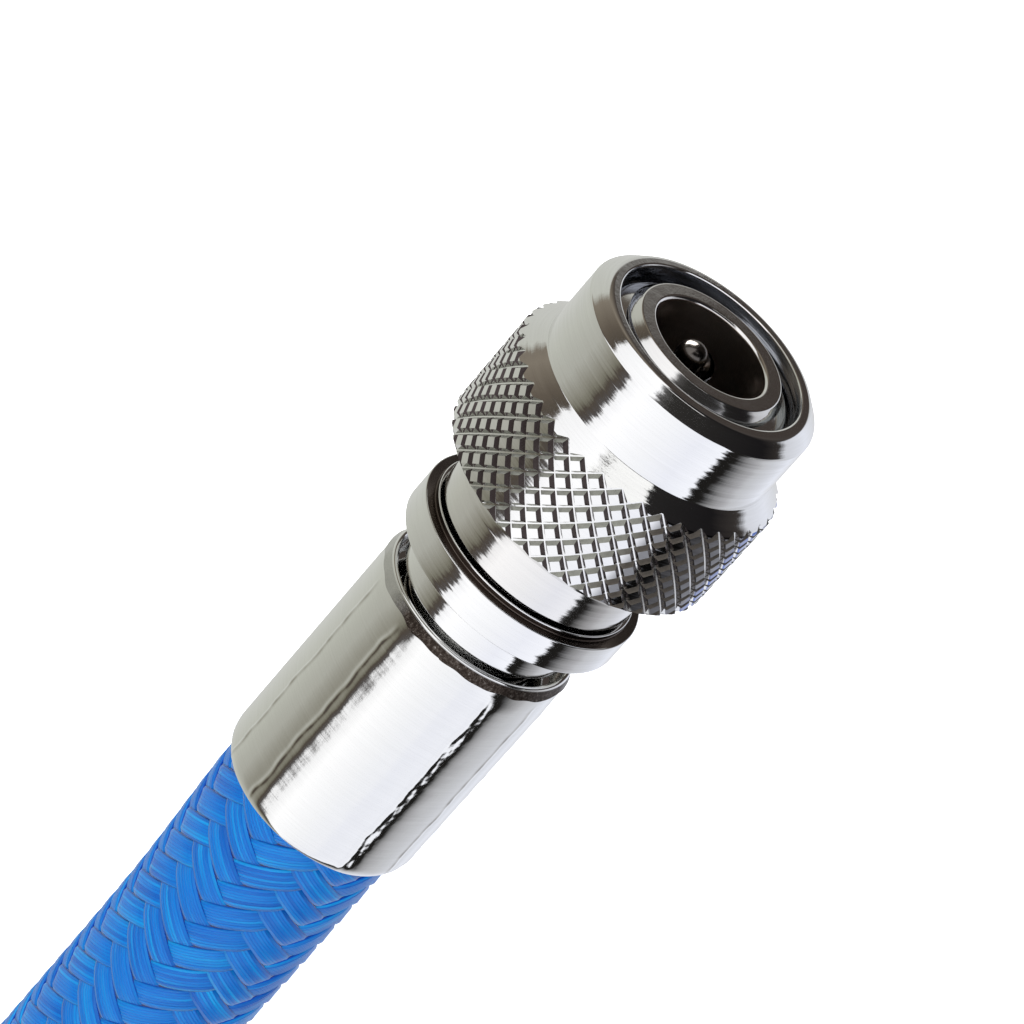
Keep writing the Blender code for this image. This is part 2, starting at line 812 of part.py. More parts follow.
def hose_route():
    """Centre line of the hose in mm between the two ferrule mouths.

    The heading turns by half a circle with a curvature that grows and falls
    like a squared sine, as a springy hose bends by itself.
    """
    steps = 2000
    step = HOSE_LEN / steps
    straight = (HOSE_LEN - HOSE_BEND) / 2
    peak = math.tau / HOSE_BEND
    heading = math.pi
    x = back(METAL_LEN)
    y = 0.0
    line = [(x, y, 0.0)]
    for i in range(steps):
        here = (i + 0.5) * step
        share = (here - straight) / HOSE_BEND
        if 0.0 < share < 1.0:
            heading += peak * math.sin(math.pi * share) ** 2 * step
        x += math.cos(heading) * step
        y += math.sin(heading) * step
        line.append((x, y, here + step / 2))
    route = []
    for x, y, here in line:
        drop = ease((here - HOSE_STRAIGHT) / HOSE_DROP)
        lift = ease((here - (HOSE_LEN - HOSE_STRAIGHT - HOSE_LIFT)) / HOSE_LIFT)
        z = AXIS_Z + (HOSE_Z - AXIS_Z) * drop + (FAR_Z - HOSE_Z) * lift
        route.append((x, y, z))
    return route


def make_hose():
    """The hose: one tube that runs over both barbed stems."""
    route = hose_route()
    picks = [route[round(i * (len(route) - 1) / (HOSE_POINTS - 1))] for i in range(HOSE_POINTS)]
    start = picks[0]
    end = picks[-1]
    points = [(start[0] + HOSE_TOP, start[1], start[2])] + picks
    points.append((end[0] + HOSE_TOP, end[1], end[2]))
    tube = wire("hose", points, 2 * HOSE_R, blue, None, 0.0, 4)
    tube.data.twist_mode = "Z_UP"
    mesh = evaluated_mesh(tube)
    mesh.name = "hose"
    world = tube.matrix_world.copy()
    bpy.data.objects.remove(tube, do_unlink=True)
    work = bmesh.new()
    work.from_mesh(mesh)
    bmesh.ops.remove_doubles(work, verts=work.verts[:], dist=1e-6)
    work.to_mesh(mesh)
    work.free()
    hose = bpy.data.objects.new("hose", mesh)
    hose.matrix_world = world
    parts.objects.link(hose)
    for label, (x, y, z) in (("near", start), ("far", end)):
        low = STEM_START - JOIN_GAP
        high = HOSE_TOP + JOIN_GAP
        outline = [(0.0, high), (STEM_CLEAR_R, high), (STEM_CLEAR_R, low), (0.0, low)]
        cutter = as_cutter(turned("hose_bore_" + label, outline, None, 20, cutters))
        cutter.location = (x * MM, y * MM, z * MM)
        cutter.rotation_euler = (0.0, math.pi / 2, 0.0)
        boolean(hose, cutter, "DIFFERENCE")
    return end


clear_scene()
parts = new_collection("inflator_hose")
cutters = new_collection("cutters")
chrome = material("chrome", CHROME, 0.10, 1.0)
steel = material("spring_steel", STEEL, 0.25, 1.0)
brass = material("brass", BRASS, 0.30, 1.0)
rubber = material("rubber", RUBBER, 0.60, 0.0)
white = material("sealing_ring", (0.80, 0.80, 0.76, 1.0), 0.50, 0.0)
blue = material("blue_braid", BLUE, 0.45, 0.0)

coupler_axis = axis_empty("coupler_axis", (0.0, 0.0, AXIS_Z * MM))
make_body(coupler_axis)
make_sleeve(coupler_axis)
make_retaining_ring(coupler_axis)
make_release_spring(coupler_axis)
make_balls(coupler_axis)
make_valve(coupler_axis)
make_insert(coupler_axis)
near_ferrule = make_ferrule("crimp_ferrule", coupler_axis, back(METAL_LEN))
far_end = make_hose()
far_axis = axis_empty("far_axis", Vector(far_end) * MM)
make_ferrule("far_ferrule", far_axis, 0.0, near_ferrule.data)
make_fitting(far_axis)
bpy.context.view_layer.update()
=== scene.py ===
"""Looks of the inflator hose: chrome coupling, crimped ferrules, braid and end fitting.

Lengths are in millimetres along the axis of each metal end and become metres
where a mesh is made. "Back" counts from the mouth of the coupling towards the
hose, and an azimuth of 0 points up and grows towards the -Y side.
"""
import math

import bmesh
import bpy
import numpy as np
from mathutils import Matrix, Vector


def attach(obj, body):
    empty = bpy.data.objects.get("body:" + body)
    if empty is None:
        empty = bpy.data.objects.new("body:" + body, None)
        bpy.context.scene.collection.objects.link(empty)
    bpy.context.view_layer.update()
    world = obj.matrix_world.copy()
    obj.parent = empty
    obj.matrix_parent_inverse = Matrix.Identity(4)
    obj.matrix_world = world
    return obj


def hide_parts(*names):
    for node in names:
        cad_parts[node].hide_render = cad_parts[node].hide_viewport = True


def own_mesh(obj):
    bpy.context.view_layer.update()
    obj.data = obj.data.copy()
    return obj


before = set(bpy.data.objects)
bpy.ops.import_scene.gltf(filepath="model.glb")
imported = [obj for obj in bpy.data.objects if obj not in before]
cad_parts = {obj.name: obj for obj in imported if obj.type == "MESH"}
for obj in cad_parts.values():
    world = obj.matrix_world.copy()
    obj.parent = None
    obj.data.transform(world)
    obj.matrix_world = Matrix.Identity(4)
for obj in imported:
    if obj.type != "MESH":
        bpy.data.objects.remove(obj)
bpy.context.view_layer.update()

MM = 0.001
MOUTH = 21.0
COUPLER = (0.0, 0.0, 9.5)
NEAR_END = (-21.0, 0.0, 9.5)
ROOT = "hose_assembly"


# Node helpers
class Net:
    """Short calls that add shader nodes to one tree."""

    def __init__(self, tree):
        self.tree = tree
        self.tree.nodes.clear()

    def add(self, kind, inputs=None, **settings):
        made = self.tree.nodes.new(kind)
        for key, value in settings.items():
            setattr(made, key, value)
        for key, value in (inputs or {}).items():
            self.put(made.inputs[key], value)
        return made

    def put(self, socket, value):
        if isinstance(value, bpy.types.NodeSocket):
            self.tree.links.new(value, socket)
        elif isinstance(value, bpy.types.Node):
            self.tree.links.new(value.outputs[0], socket)
        else:
            socket.default_value = value

    def math(self, operation, first, second=0.0, third=0.0, clamp=False):
        made = self.add("ShaderNodeMath", {0: first, 1: second, 2: third}, operation=operation)
        made.use_clamp = clamp
        return made.outputs[0]

    def vector(self, operation, first, second=(0.0, 0.0, 0.0), scale=None):
        made = self.add("ShaderNodeVectorMath", {0: first, 1: second}, operation=operation)
        if scale is not None:
            self.put(made.inputs["Scale"], scale)
        return made.outputs["Value" if operation in ("DOT_PRODUCT", "LENGTH") else "Vector"]

    def mix(self, share, first, second):
        made = self.add("ShaderNodeMix", data_type="RGBA")
        self.put(made.inputs["Factor"], share)
        self.put(made.inputs["A"], first)
        self.put(made.inputs["B"], second)
        return made.outputs["Result"]

    def ramp(self, value, stops, interpolation="LINEAR"):
        made = self.add("ShaderNodeValToRGB", {"Fac": value})
        band = made.color_ramp
        band.interpolation = interpolation
        while len(band.elements) > 1:
            band.elements.remove(band.elements[-1])
        band.elements[0].position = stops[0][0]
        band.elements[0].color = rgba(stops[0][1])
        for position, colour in stops[1:]:
            band.elements.new(position).color = rgba(colour)
        return made.outputs["Color"]

    def noise(self, vector, scale, detail=2.0, roughness=0.5):
        made = self.add(
            "ShaderNodeTexNoise",
            {"Vector": vector, "Scale": scale, "Detail": detail, "Roughness": roughness},
        )
        return made.outputs["Fac"]

    def stretch(self, vector, factors):
        return self.vector("MULTIPLY", vector, factors)

    def times(self, first, second, clamp=False):
        return self.math("MULTIPLY", first, second, clamp=clamp)

    def plus(self, first, second, clamp=False):
        return self.math("ADD", first, second, clamp=clamp)

    def minus(self, first, second):
        return self.math("SUBTRACT", first, second)

    def bump(self, height, strength, distance, **more):
        inputs = {"Strength": strength, "Distance": distance, "Height": height, **more}
        return self.add("ShaderNodeBump", inputs)

    def object_place(self):
        return self.add("ShaderNodeTexCoord").outputs["Object"]


def rgba(colour):
    return tuple(colour) + (1.0,) if len(colour) == 3 else tuple(colour)


def new_material(name):
    made = bpy.data.materials.new(name)
    made.use_nodes = True
    return made, Net(made.node_tree)


def close_material(made, net, inputs):
    """Ends a material in a principled shader with these inputs."""
    shader = net.add("ShaderNodeBsdfPrincipled", inputs)
    net.add("ShaderNodeOutputMaterial", {"Surface": shader})
    return made


# Materials
KNURL_TOP_R = 9.4
# Painted shade on the -Y side of the knurl's tops, with a painted reflection of the blue hose near
# the bottom
KNURL_TOP_SHADE = [
    (0.42, (1.0, 1.0, 1.0)), (0.50, (0.26, 0.26, 0.27)), (0.92, (0.22, 0.22, 0.24)),
    (0.965, (0.10, 0.20, 0.62)), (0.99, (0.5, 0.5, 0.55)),
]
# Painted shade on the -Y side of the knurl's olive flanks
KNURL_FLANK_SHADE = [
    (0.30, (1.0, 1.0, 1.0)), (0.48, (0.30, 0.26, 0.25)),
    (0.95, (0.25, 0.22, 0.22)), (1.0, (0.6, 0.6, 0.6)),
]
# Painted shade on the cone of a ferrule's lip: dark brown specks with a few paler ones
LIP_SHADE_SPECKS = [
    (0.45, (0.035, 0.026, 0.021)), (0.62, (0.11, 0.09, 0.075)), (0.72, (0.5, 0.48, 0.45)),
]
YARN_TONES = [
    (0.25, (0.001, 0.060, 0.29)), (0.5, (0.001, 0.135, 0.44)), (0.75, (0.002, 0.27, 0.56)),
]


def low_side(net, place, base, stops):
    """Paints shade on the side of the coupling that faces -Y by darkening a colour, with a painted
    blue reflection of the hose in the tops' stops.
    """
    parts = net.add("ShaderNodeSeparateXYZ", {0: place})
    low = net.times(parts.outputs["Y"], -1.0 / (KNURL_R * MM))
    made = net.add("ShaderNodeMix", {"Factor": 1.0}, data_type="RGBA", blend_type="MULTIPLY")
    net.put(made.inputs["A"], base)
    net.put(made.inputs["B"], net.ramp(low, stops))
    return made.outputs["Result"]


def chrome_material(
    name, tint, roughness, jag, brush,
    streak=0.10, spike=0.45, centre=COUPLER, lip=False, shade=False,
):
    """Plated metal turned on a lathe.

    The normal is turned a little round the axis by an amount that changes along
    the axis only, which frays the edges of reflections as turning marks do. The
    attribute lip marks the cone of a crimped ferrule's lip, which gets painted
    shade of dark specks, and shade paints shade and a reflection of the blue hose
    on the low side of the knurl's tops.
    """
    made, net = new_material(name)
    place = net.object_place()
    normal = net.add("ShaderNodeNewGeometry").outputs["Normal"]
    axis = net.vector("SUBTRACT", place, (0.0, centre[1] * MM, centre[2] * MM))
    lines = net.stretch(axis, (1.0, 0.02, 0.02))
    coarse = net.minus(net.noise(lines, 3500.0, 3.0, 0.7), 0.5)
    sharp = net.minus(net.noise(lines, 9000.0, 2.0, 0.6), 0.5)
    fine = net.minus(net.noise(lines, 14000.0, 2.0, 0.6), 0.5)
    cube = net.times(net.times(sharp, sharp), sharp)
    around = net.vector("CROSS_PRODUCT", (1.0, 0.0, 0.0), normal)
    swing = net.math("MULTIPLY_ADD", cube, spike * 8.0, net.times(coarse, jag))
    along = net.vector("SCALE", (1.0, 0.0, 0.0), scale=net.times(fine, brush))
    bent = net.vector("ADD", normal, net.vector("SCALE", around, scale=swing))
    bent = net.vector("NORMALIZE", net.vector("ADD", bent, along))
    spots = net.noise(place, 900.0, 4.0, 0.7)
    patch = net.noise(place, 260.0, 3.0, 0.6)
    rough = net.plus(roughness, net.times(patch, roughness * 0.8))
    worn = net.times(net.noise(lines, 11000.0, 3.0, 0.7), streak * 2.0, clamp=True)
    base = net.mix(worn, rgba(tint), rgba([c * 0.35 for c in tint]))
    relief = net.bump(spots, 0.12, 0.00004, Normal=bent)
    if shade:
        # painted shade and a painted reflection of the blue hose on the -Y side of the tops
        length = net.vector("LENGTH", net.stretch(axis, (0.0, 1.0, 1.0)))
        top = net.math("GREATER_THAN", length, KNURL_TOP_R * MM)
        base = net.mix(top, base, low_side(net, place, base, KNURL_TOP_SHADE))
    if lip:
        # painted shade: dark brown specks on the lip's cone, less at the top
        share = net.add("ShaderNodeAttribute", attribute_name="lip").outputs["Fac"]
        lip_speckle = net.noise(place, 5200.0, 4.0, 0.75)
        base = net.mix(share, base, net.ramp(lip_speckle, LIP_SHADE_SPECKS))
        rough = net.math("MULTIPLY_ADD", share, 0.30, rough)
        strength = net.math("MULTIPLY_ADD", share, 0.5, 0.02)
        relief = net.bump(lip_speckle, strength, 0.00006, Normal=relief)
    return close_material(made, net, {
        "Base Color": base, "Metallic": 1.0, "Roughness": rough, "Normal": relief,
    })


def plain_material(name, colour, roughness, metallic, grain=0.3, scale=1500.0, stops=None):
    """Cloudy metal or rubber. Stops paint shade on its side that faces -Y."""
    made, net = new_material(name)
    place = net.object_place()
    cloud = net.noise(place, scale, 4.0, 0.6)
    base = net.mix(net.times(cloud, grain), rgba(colour), rgba([c * 0.45 for c in colour]))
    if stops is not None:
        base = low_side(net, place, base, stops)
    return close_material(made, net, {
        "Base Color": base,
        "Metallic": metallic,
        "Roughness": net.plus(roughness, net.times(cloud, 0.12)),
        "Normal": net.bump(cloud, 0.25, 0.00003),
        "Specular IOR Level": 0.2 if stops is not None else 0.5,
    })


def braid_material():
    """Flat bundles of clear blue filaments laid side by side, with painted shade in the creases
    between them.
    """
    made, net = new_material("braid_blue")
    yarn = net.add("ShaderNodeAttribute", attribute_name="yarn")
    parts = net.add("ShaderNodeSeparateXYZ", {0: yarn.outputs["Vector"]})
    across = parts.outputs["X"]
    along = parts.outputs["Y"]
    key = parts.outputs["Z"]
    wave = net.math("SINE", net.times(across, FILAMENTS * math.pi))
    round_top = net.math("POWER", net.math("ABSOLUTE", wave), 0.55)
    place = net.object_place()
    cell = net.math("FLOOR", net.times(across, FILAMENTS))
    index = net.plus(cell, net.times(key, 31.0))
    spread = net.add("ShaderNodeCombineXYZ", {"X": index, "Y": net.times(along, 0.12)})
    tone = net.noise(spread.outputs[0], 1.0, 2.0, 0.5)
    # painted shade: deep blue in the creases between filaments
    gap = net.math("POWER", round_top, 0.6)
    cloud = net.noise(place, 700.0, 3.0, 0.6)
    return close_material(made, net, {
        "Base Color": net.mix(gap, (0.0, 0.06, 0.36, 1.0), net.ramp(tone, YARN_TONES)),
        "Roughness": net.plus(0.24, net.times(cloud, 0.16)),
        "Normal": net.bump(round_top, 0.55, 0.00005),
        "Specular IOR Level": 0.32,
        "Subsurface Weight": 0.18,
        "Subsurface Radius": (0.0003, 0.0006, 0.0012),
        "Subsurface Scale": 0.6,
    })


# Shapes
SUPPORT = 1.15


def fillet(points, radius, steps=4, closed=True):
    """Rounds the corners of a profile in the (x, r) plane.

    A third number in a point is its own radius. A support point beyond each end
    of an arc keeps the straight stretches flat under smooth shading.
    """
    made = []
    count = len(points)
    for i, here in enumerate(points):
        if not closed and i in (0, count - 1):
            made.append(tuple(here[:2]))
            continue
        before = points[i - 1]
        after = points[(i + 1) % count]
        to_before = (before[0] - here[0], before[1] - here[1])
        to_after = (after[0] - here[0], after[1] - here[1])
        len_before = math.hypot(*to_before)
        len_after = math.hypot(*to_after)
        bend = (to_before[0] * to_after[0] + to_before[1] * to_after[1]) / (len_before * len_after)
        own = here[2] if len(here) > 2 else radius
        reach = min(own, 0.42 * len_before, 0.42 * len_after)
        if bend < -0.985:
            made.append(tuple(here[:2]))
            continue
        first = [here[k] + to_before[k] / len_before * reach for k in (0, 1)]
        last = [here[k] + to_after[k] / len_after * reach for k in (0, 1)]
        made.append(tuple(here[k] + to_before[k] / len_before * reach * SUPPORT for k in (0, 1)))
        for j in range(steps + 1):
            t = j / steps
            made.append(tuple(
                (1 - t) ** 2 * first[k] + 2 * t * (1 - t) * here[k] + t * t * last[k]
                for k in (0, 1)
            ))
        made.append(tuple(here[k] + to_after[k] / len_after * reach * SUPPORT for k in (0, 1)))
    return made


def link(name, mesh, materials):
    for material in materials:
        mesh.materials.append(material)
    made = bpy.data.objects.new(name, mesh)
    bpy.context.scene.collection.objects.link(made)
    return made


def smooth(mesh, degrees=32.0):
    mesh.shade_smooth()
    mesh.set_sharp_from_angle(angle=math.radians(degrees))


def grid_faces(rows, columns, wrap_rows, wrap_columns):
    """Four corners of each face between neighbours in a grid of points."""
    i, j = np.meshgrid(
        np.arange(rows if wrap_rows else rows - 1),
        np.arange(columns if wrap_columns else columns - 1),
        indexing="ij",
    )
    below = (i + 1) % rows
    right = (j + 1) % columns
    return np.stack(
        [i * columns + j, i * columns + right, below * columns + right, below * columns + j],
        axis=-1,
    ).reshape(-1, 4)


def mesh_from_grid(name, grid, wrap_rows, wrap_columns, materials, caps=False, degrees=32.0):
    """A mesh from a grid of points in metres, rows by columns."""
    rows, columns = grid.shape[:2]
    verts = grid.reshape(-1, 3)
    mesh = bpy.data.meshes.new(name)
    listed = grid_faces(rows, columns, wrap_rows, wrap_columns).tolist()
    if caps:
        listed.append(list(range(columns)))
        listed.append(list(range((rows - 1) * columns, rows * columns))[::-1])
    mesh.from_pydata(verts.tolist(), [], listed)
    tidy_mesh(mesh)
    smooth(mesh, degrees)
    return link(name, mesh, materials)


def tidy_mesh(mesh, weld=2e-7):
    work = bmesh.new()
    work.from_mesh(mesh)
    bmesh.ops.remove_doubles(work, verts=work.verts[:], dist=weld)
    bmesh.ops.recalc_face_normals(work, faces=work.faces[:])
    work.to_mesh(mesh)
    work.free()


def round_grid(profile, steps, origin, change=None):
    """Points of a turned surface round the X axis through origin."""
    profile = np.array([point[:2] for point in profile], float)
    angles = np.linspace(0.0, math.tau, steps, endpoint=False)
    x = np.repeat(profile[:, :1], steps, axis=1)
    r = np.repeat(profile[:, 1:], steps, axis=1)
    a = np.repeat(angles[None, :], len(profile), axis=0)
    if change is not None:
        x, r, a = change(x, r, a)
    return np.stack(
        [origin[0] + x, origin[1] - r * np.sin(a), origin[2] + r * np.cos(a)],
        axis=-1,
    ) * MM


def turned(
    name, profile, materials, steps=160, origin=COUPLER, edge=0.06, change=None, degrees=32.0,
):
    """A turned piece. A profile that starts and ends on the axis is a solid one."""
    solid = profile[0][1] < 1e-6
    points = fillet(profile, edge, closed=not solid)
    grid = round_grid(points, steps, origin, change)
    return mesh_from_grid(name, grid, not solid, True, materials, degrees=degrees)


def from_back(points):
    """Profile in back distances turned into x from the coupling's middle."""
    return [(MOUTH - point[0], *point[1:]) for point in points]


def tube(name, points, radius, materials, sides=12, closed_ends=True):
    """A round wire along points in millimetres."""
    points = np.array(points, float)
    tangent = np.gradient(points, axis=0)
    tangent /= np.linalg.norm(tangent, axis=1)[:, None]
    first = np.cross(tangent[0], (0.3, 0.5, 0.8))
    first /= np.linalg.norm(first)
    rows = []
    for here, way in zip(points, tangent):
        first = first - way * np.dot(first, way)
        first /= np.linalg.norm(first)
        second = np.cross(way, first)
        angles = np.linspace(0.0, math.tau, sides, endpoint=False)
        ring = np.outer(np.cos(angles), first) + np.outer(np.sin(angles), second)
        rows.append(here + ring * radius)
    grid = np.array(rows) * MM
    return mesh_from_grid(name, grid, False, True, materials, caps=closed_ends, degrees=50.0)


def fill_mesh(name, operator, **settings):
    """A new mesh that one mesh operator makes."""
    mesh = bpy.data.meshes.new(name)
    work = bmesh.new()
    operator(work, **settings)
    work.to_mesh(mesh)
    work.free()
    return mesh


def cut(piece, cutters, operation):
    for cutter in cutters:
        made = piece.modifiers.new("cut", "BOOLEAN")
        made.operation = operation
        made.solver = "EXACT"
        made.object = cutter


def settle(piece, cutters):
    """Applies the modifiers of a piece and removes what cut it."""
    bpy.context.view_layer.update()
    graph = bpy.context.evaluated_depsgraph_get()
    mesh = bpy.data.meshes.new_from_object(piece.evaluated_get(graph))
    piece.modifiers.clear()
    piece.data = mesh
    for cutter in cutters:
        bpy.data.objects.remove(cutter, do_unlink=True)


def place_piece(piece, body, slot, *nodes):
    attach(piece, body)
    if nodes:
        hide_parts(*nodes)
    return piece


def spoke(place):
    """Vector to a point from the nearest point of the coupling's axis."""
    return Vector((0.0, place.y, place.z - COUPLER[2] * MM))


def paint(mesh, index, low_x, high_x, high_r):
    """Gives another material, darker as painted shade, to the faces that look in at the axis."""
    for face in mesh.polygons:
        out = spoke(face.center)
        inward = face.normal.dot(out) < -0.35 * out.length
        if inward and out.length < high_r * MM and low_x * MM < face.center.x < high_x * MM:
            face.material_index = index


def paint_flanks(mesh, lower, upper):
    """Gives the two front flanks of every diamond materials of their own, painted shade on the
    lower and a painted olive reflection on the upper.
    """
    for face in mesh.polygons:
        out = spoke(face.center)
        side = Vector((0.0, -out.z, out.y)).normalized()
        slope = face.normal.dot(side)
        if not 9.0 * MM < out.length < 9.48 * MM or face.normal.x < FLANK_TURN:
            continue
        if slope > FLANK_TURN:
            face.material_index = lower
        elif slope < -FLANK_TURN:
            face.material_index = upper


def paint_step(mesh, index, low_x, high_x, low_r, high_r):
    """Gives another material, a painted shade, to the outer faces of a narrow band."""
    for face in mesh.polygons:
        radius = spoke(face.center).length
        if low_r * MM < radius < high_r * MM and low_x * MM < face.center.x < high_x * MM:
            face.material_index = index


# Coupling
KNURL_R = 9.5
KNURL_DEPTH = 0.32
KNURL_COUNT = 40
KNURL_PITCH = 1.5
KNURL_START = 6.16
SLEEVE_END = 13.96
KNURL_FLOOR = 0.04
KNURL_FLANK = 0.217
KNURL_SIDE = (0.0, KNURL_FLOOR, KNURL_FLANK, 0.5, 1.0 - KNURL_FLANK, 1.0 - KNURL_FLOOR, 1.0)
KNURL_CELLS = 15
FLANK_TURN = 0.25
ENVELOPE_R = 9.80


def knurl_height(share):
    """0 on the floor of a groove, 1 on the flat tops."""
    near = min(share, 1.0 - share)
    return min(max((near - KNURL_FLOOR) / (KNURL_FLANK - KNURL_FLOOR), 0.0), 1.0)


def knurl_point(a, b, height):
    """Place of a lattice point, where a and b count the grooves of the two sets."""
    angle = (a + b) / 2 * math.tau / KNURL_COUNT
    back = KNURL_START + (b - a) / 2 * KNURL_PITCH
    radius = KNURL_R - KNURL_DEPTH * (1.0 - height)
    return (
        (MOUTH - back) * MM,
        -radius * math.sin(angle) * MM,
        (COUPLER[2] + radius * math.cos(angle)) * MM,
    )


def make_knurl_block():
    """A closed drum whose side is the endless lattice of diamonds."""
    mesh = bpy.data.meshes.new("knurl_drum")
    work = bmesh.new()
    last = len(KNURL_SIDE) - 1
    for k in range(KNURL_COUNT):
        for m in range(-2, KNURL_CELLS - 2):
            corners = []
            heights = []
            for sa in KNURL_SIDE:
                levels = [min(knurl_height(sa), knurl_height(sb)) for sb in KNURL_SIDE]
                row = [knurl_point(k + sa, k + m + sb, h) for sb, h in zip(KNURL_SIDE, levels)]
                corners.append([work.verts.new(place) for place in row])
                heights.append(levels)
            for i in range(last):
                for j in range(last):
                    ring = [(i, j), (i + 1, j), (i + 1, j + 1), (i, j + 1)]
                    high = [n for n, (p, q) in enumerate(ring) if heights[p][q] > 0.5]
                    loop = [corners[p][q] for p, q in ring]
                    if len(high) == 1:
                        n = high[0]
                        turned_loop = loop[n:] + loop[:n]
                        work.faces.new(turned_loop[:3])
                        work.faces.new([turned_loop[0], turned_loop[2], turned_loop[3]])
                    else:
                        work.faces.new(loop)
    bmesh.ops.remove_doubles(work, verts=work.verts[:], dist=2e-6)
    rims = [edge for edge in work.edges if len(edge.link_faces) == 1]
    made = bmesh.ops.extrude_edge_only(work, edges=rims)
    middle = (MOUTH - KNURL_START - KNURL_PITCH * KNURL_CELLS / 4) * MM
    for vert in made["geom"]:
        if isinstance(vert, bmesh.types.BMVert):
            out = spoke(vert.co).normalized()
            end = MOUTH + 1.0 if vert.co.x > middle else MOUTH - 16.0
            vert.co = Vector((end * MM, 0.0, COUPLER[2] * MM)) + out * (KNURL_R - 0.2) * MM
    open_edges = [edge for edge in work.edges if len(edge.link_faces) == 1]
    bmesh.ops.holes_fill(work, edges=open_edges, sides=0)
    bmesh.ops.recalc_face_normals(work, faces=work.faces[:])
    work.to_mesh(mesh)
    work.free()
    return link("knurl_drum", mesh, [])


def make_sleeve(materials):
    """The sleeve's turned outline, cut by the lattice of the knurl."""
    outline = [
        (SLEEVE_END, 8.88, 0.10),
        (SLEEVE_END, 7.30),
        (5.60, 7.30),
        (5.60, 6.27),
        (1.88, 6.27),
        (1.88, 6.566),
        (0.0, 6.566, 0.13),
        (0.0, 7.24, 0.17),
        (0.90, 8.17, 0.08),
        (5.30, 8.17, 0.04),
        (6.69, ENVELOPE_R, 0.02),
        (13.13, ENVELOPE_R, 0.02),
    ]
    sleeve = turned("sleeve_knurled", from_back(outline), materials, 320, edge=0.05)
    drum = make_knurl_block()
    cut(sleeve, [drum], "INTERSECT")
    settle(sleeve, [drum])
    # painted shade on the faces inside the mouth
    paint(sleeve.data, 1, MOUTH - 5.7, MOUTH - 0.15, 7.0)
    paint_flanks(sleeve.data, 2, 3)
    smooth(sleeve.data, 24.0)
    return sleeve


BALL_COUNT = 5
BALL_R = 1.2
BALL_BACK = 3.75
BALL_OUT = 4.61
HOLE_LOW = 3.65
HOLE_HIGH = 6.42
HOLE_WIDE_R = 1.56


def ball_place(k, out):
    """Place at radius out on the line along which one ball moves, and that way."""
    angle = math.pi + math.tau * k / BALL_COUNT
    way = Vector((0.0, -math.sin(angle), math.cos(angle)))
    return (Vector((MOUTH - BALL_BACK, 0.0, COUPLER[2])) + way * out) * MM, way


def make_body(material, bore_shade_material):
    outline = [
        (0.0, 5.06, 0.07), (0.62, 5.55), (0.72, 5.40), (0.90, 5.40), (1.08, 6.12), (1.14, 6.12),
        (1.14, 5.77), (1.86, 5.77), (1.86, 6.12), (11.6, 6.12), (11.6, 6.80), (11.8, 7.0),
        (17.83, 7.0), (17.83, 4.4), (22.0, 4.4), (22.4, 4.0), (22.4, 3.0), (14.4, 3.0),
        (14.0, 2.6), (9.0, 2.6), (9.0, 3.95), (7.4, 3.95), (7.4, 5.3), (5.6, 5.3),
        (5.6, 3.95), (0.16, 3.95, 0.08), (0.0, 4.10, 0.08),
    ]
    body = turned("coupler_turned", from_back(outline), [material, bore_shade_material], 192, edge=0.05)
    cutters = []
    for k in range(BALL_COUNT):
        mesh = fill_mesh(
            "ball_hole", bmesh.ops.create_cone, cap_ends=True, segments=40,
            radius1=BALL_R * MM, radius2=HOLE_WIDE_R * MM, depth=(HOLE_HIGH - HOLE_LOW) * MM,
        )
        cutter = link("ball_hole_%d" % k, mesh, [])
        cutter.location, out = ball_place(k, (HOLE_LOW + HOLE_HIGH) / 2)
        cutter.rotation_mode = "QUATERNION"
        cutter.rotation_quaternion = out.to_track_quat("Z", "Y")
        cutters.append(cutter)
    cut(body, cutters, "DIFFERENCE")
    settle(body, cutters)
    # painted shade on the bore's inner faces
    paint(body.data, 1, MOUTH - 9.0, MOUTH - 0.17, 5.4)
    smooth(body.data, 32.0)
    return body


def torus(name, centre, mid_r, section, material, around=96, sides=20):
    angles = np.linspace(0.0, math.tau, sides, endpoint=False)
    profile = [(section / 2 * math.cos(a), mid_r + section / 2 * math.sin(a)) for a in angles]
    grid = round_grid(profile, around, centre)
    return mesh_from_grid(name, grid, True, True, [material], degrees=60.0)


def helix(mid_r, wire, start_x, end_x, turns, per_turn, centre, closed_turns=0.6):
    """Points of a spring whose end turns lie flat."""
    count = int(turns * per_turn) + 1
    points = []
    for i in range(count):
        turn = turns * i / (count - 1)
        share = min(max((turn - closed_turns * 0.5) / (turns - closed_turns), 0.0), 1.0)
        x = start_x + (end_x - start_x) * share
        angle = math.tau * turn
        points.append((
            centre[0] + x,
            centre[1] + mid_r * math.sin(angle),
            centre[2] - mid_r * math.cos(angle),
        ))
    return points


RING_MID_R = 6.186
RING_WIRE_R = 0.26


def make_retaining_ring(material):
    """Open wire ring whose end shows in the mouth of the sleeve."""
    start = math.radians(60.0)
    sweep = math.tau - math.radians(35.0)
    count = 150
    points = []
    for i in range(count):
        angle = start + sweep * i / (count - 1)
        points.append((
            MOUTH - 1.5,
            RING_MID_R * math.sin(angle),
            COUPLER[2] - RING_MID_R * math.cos(angle),
        ))
    return tube("retaining_wire", points, RING_WIRE_R, [material], 20)


PIN_TIP_R = 0.98


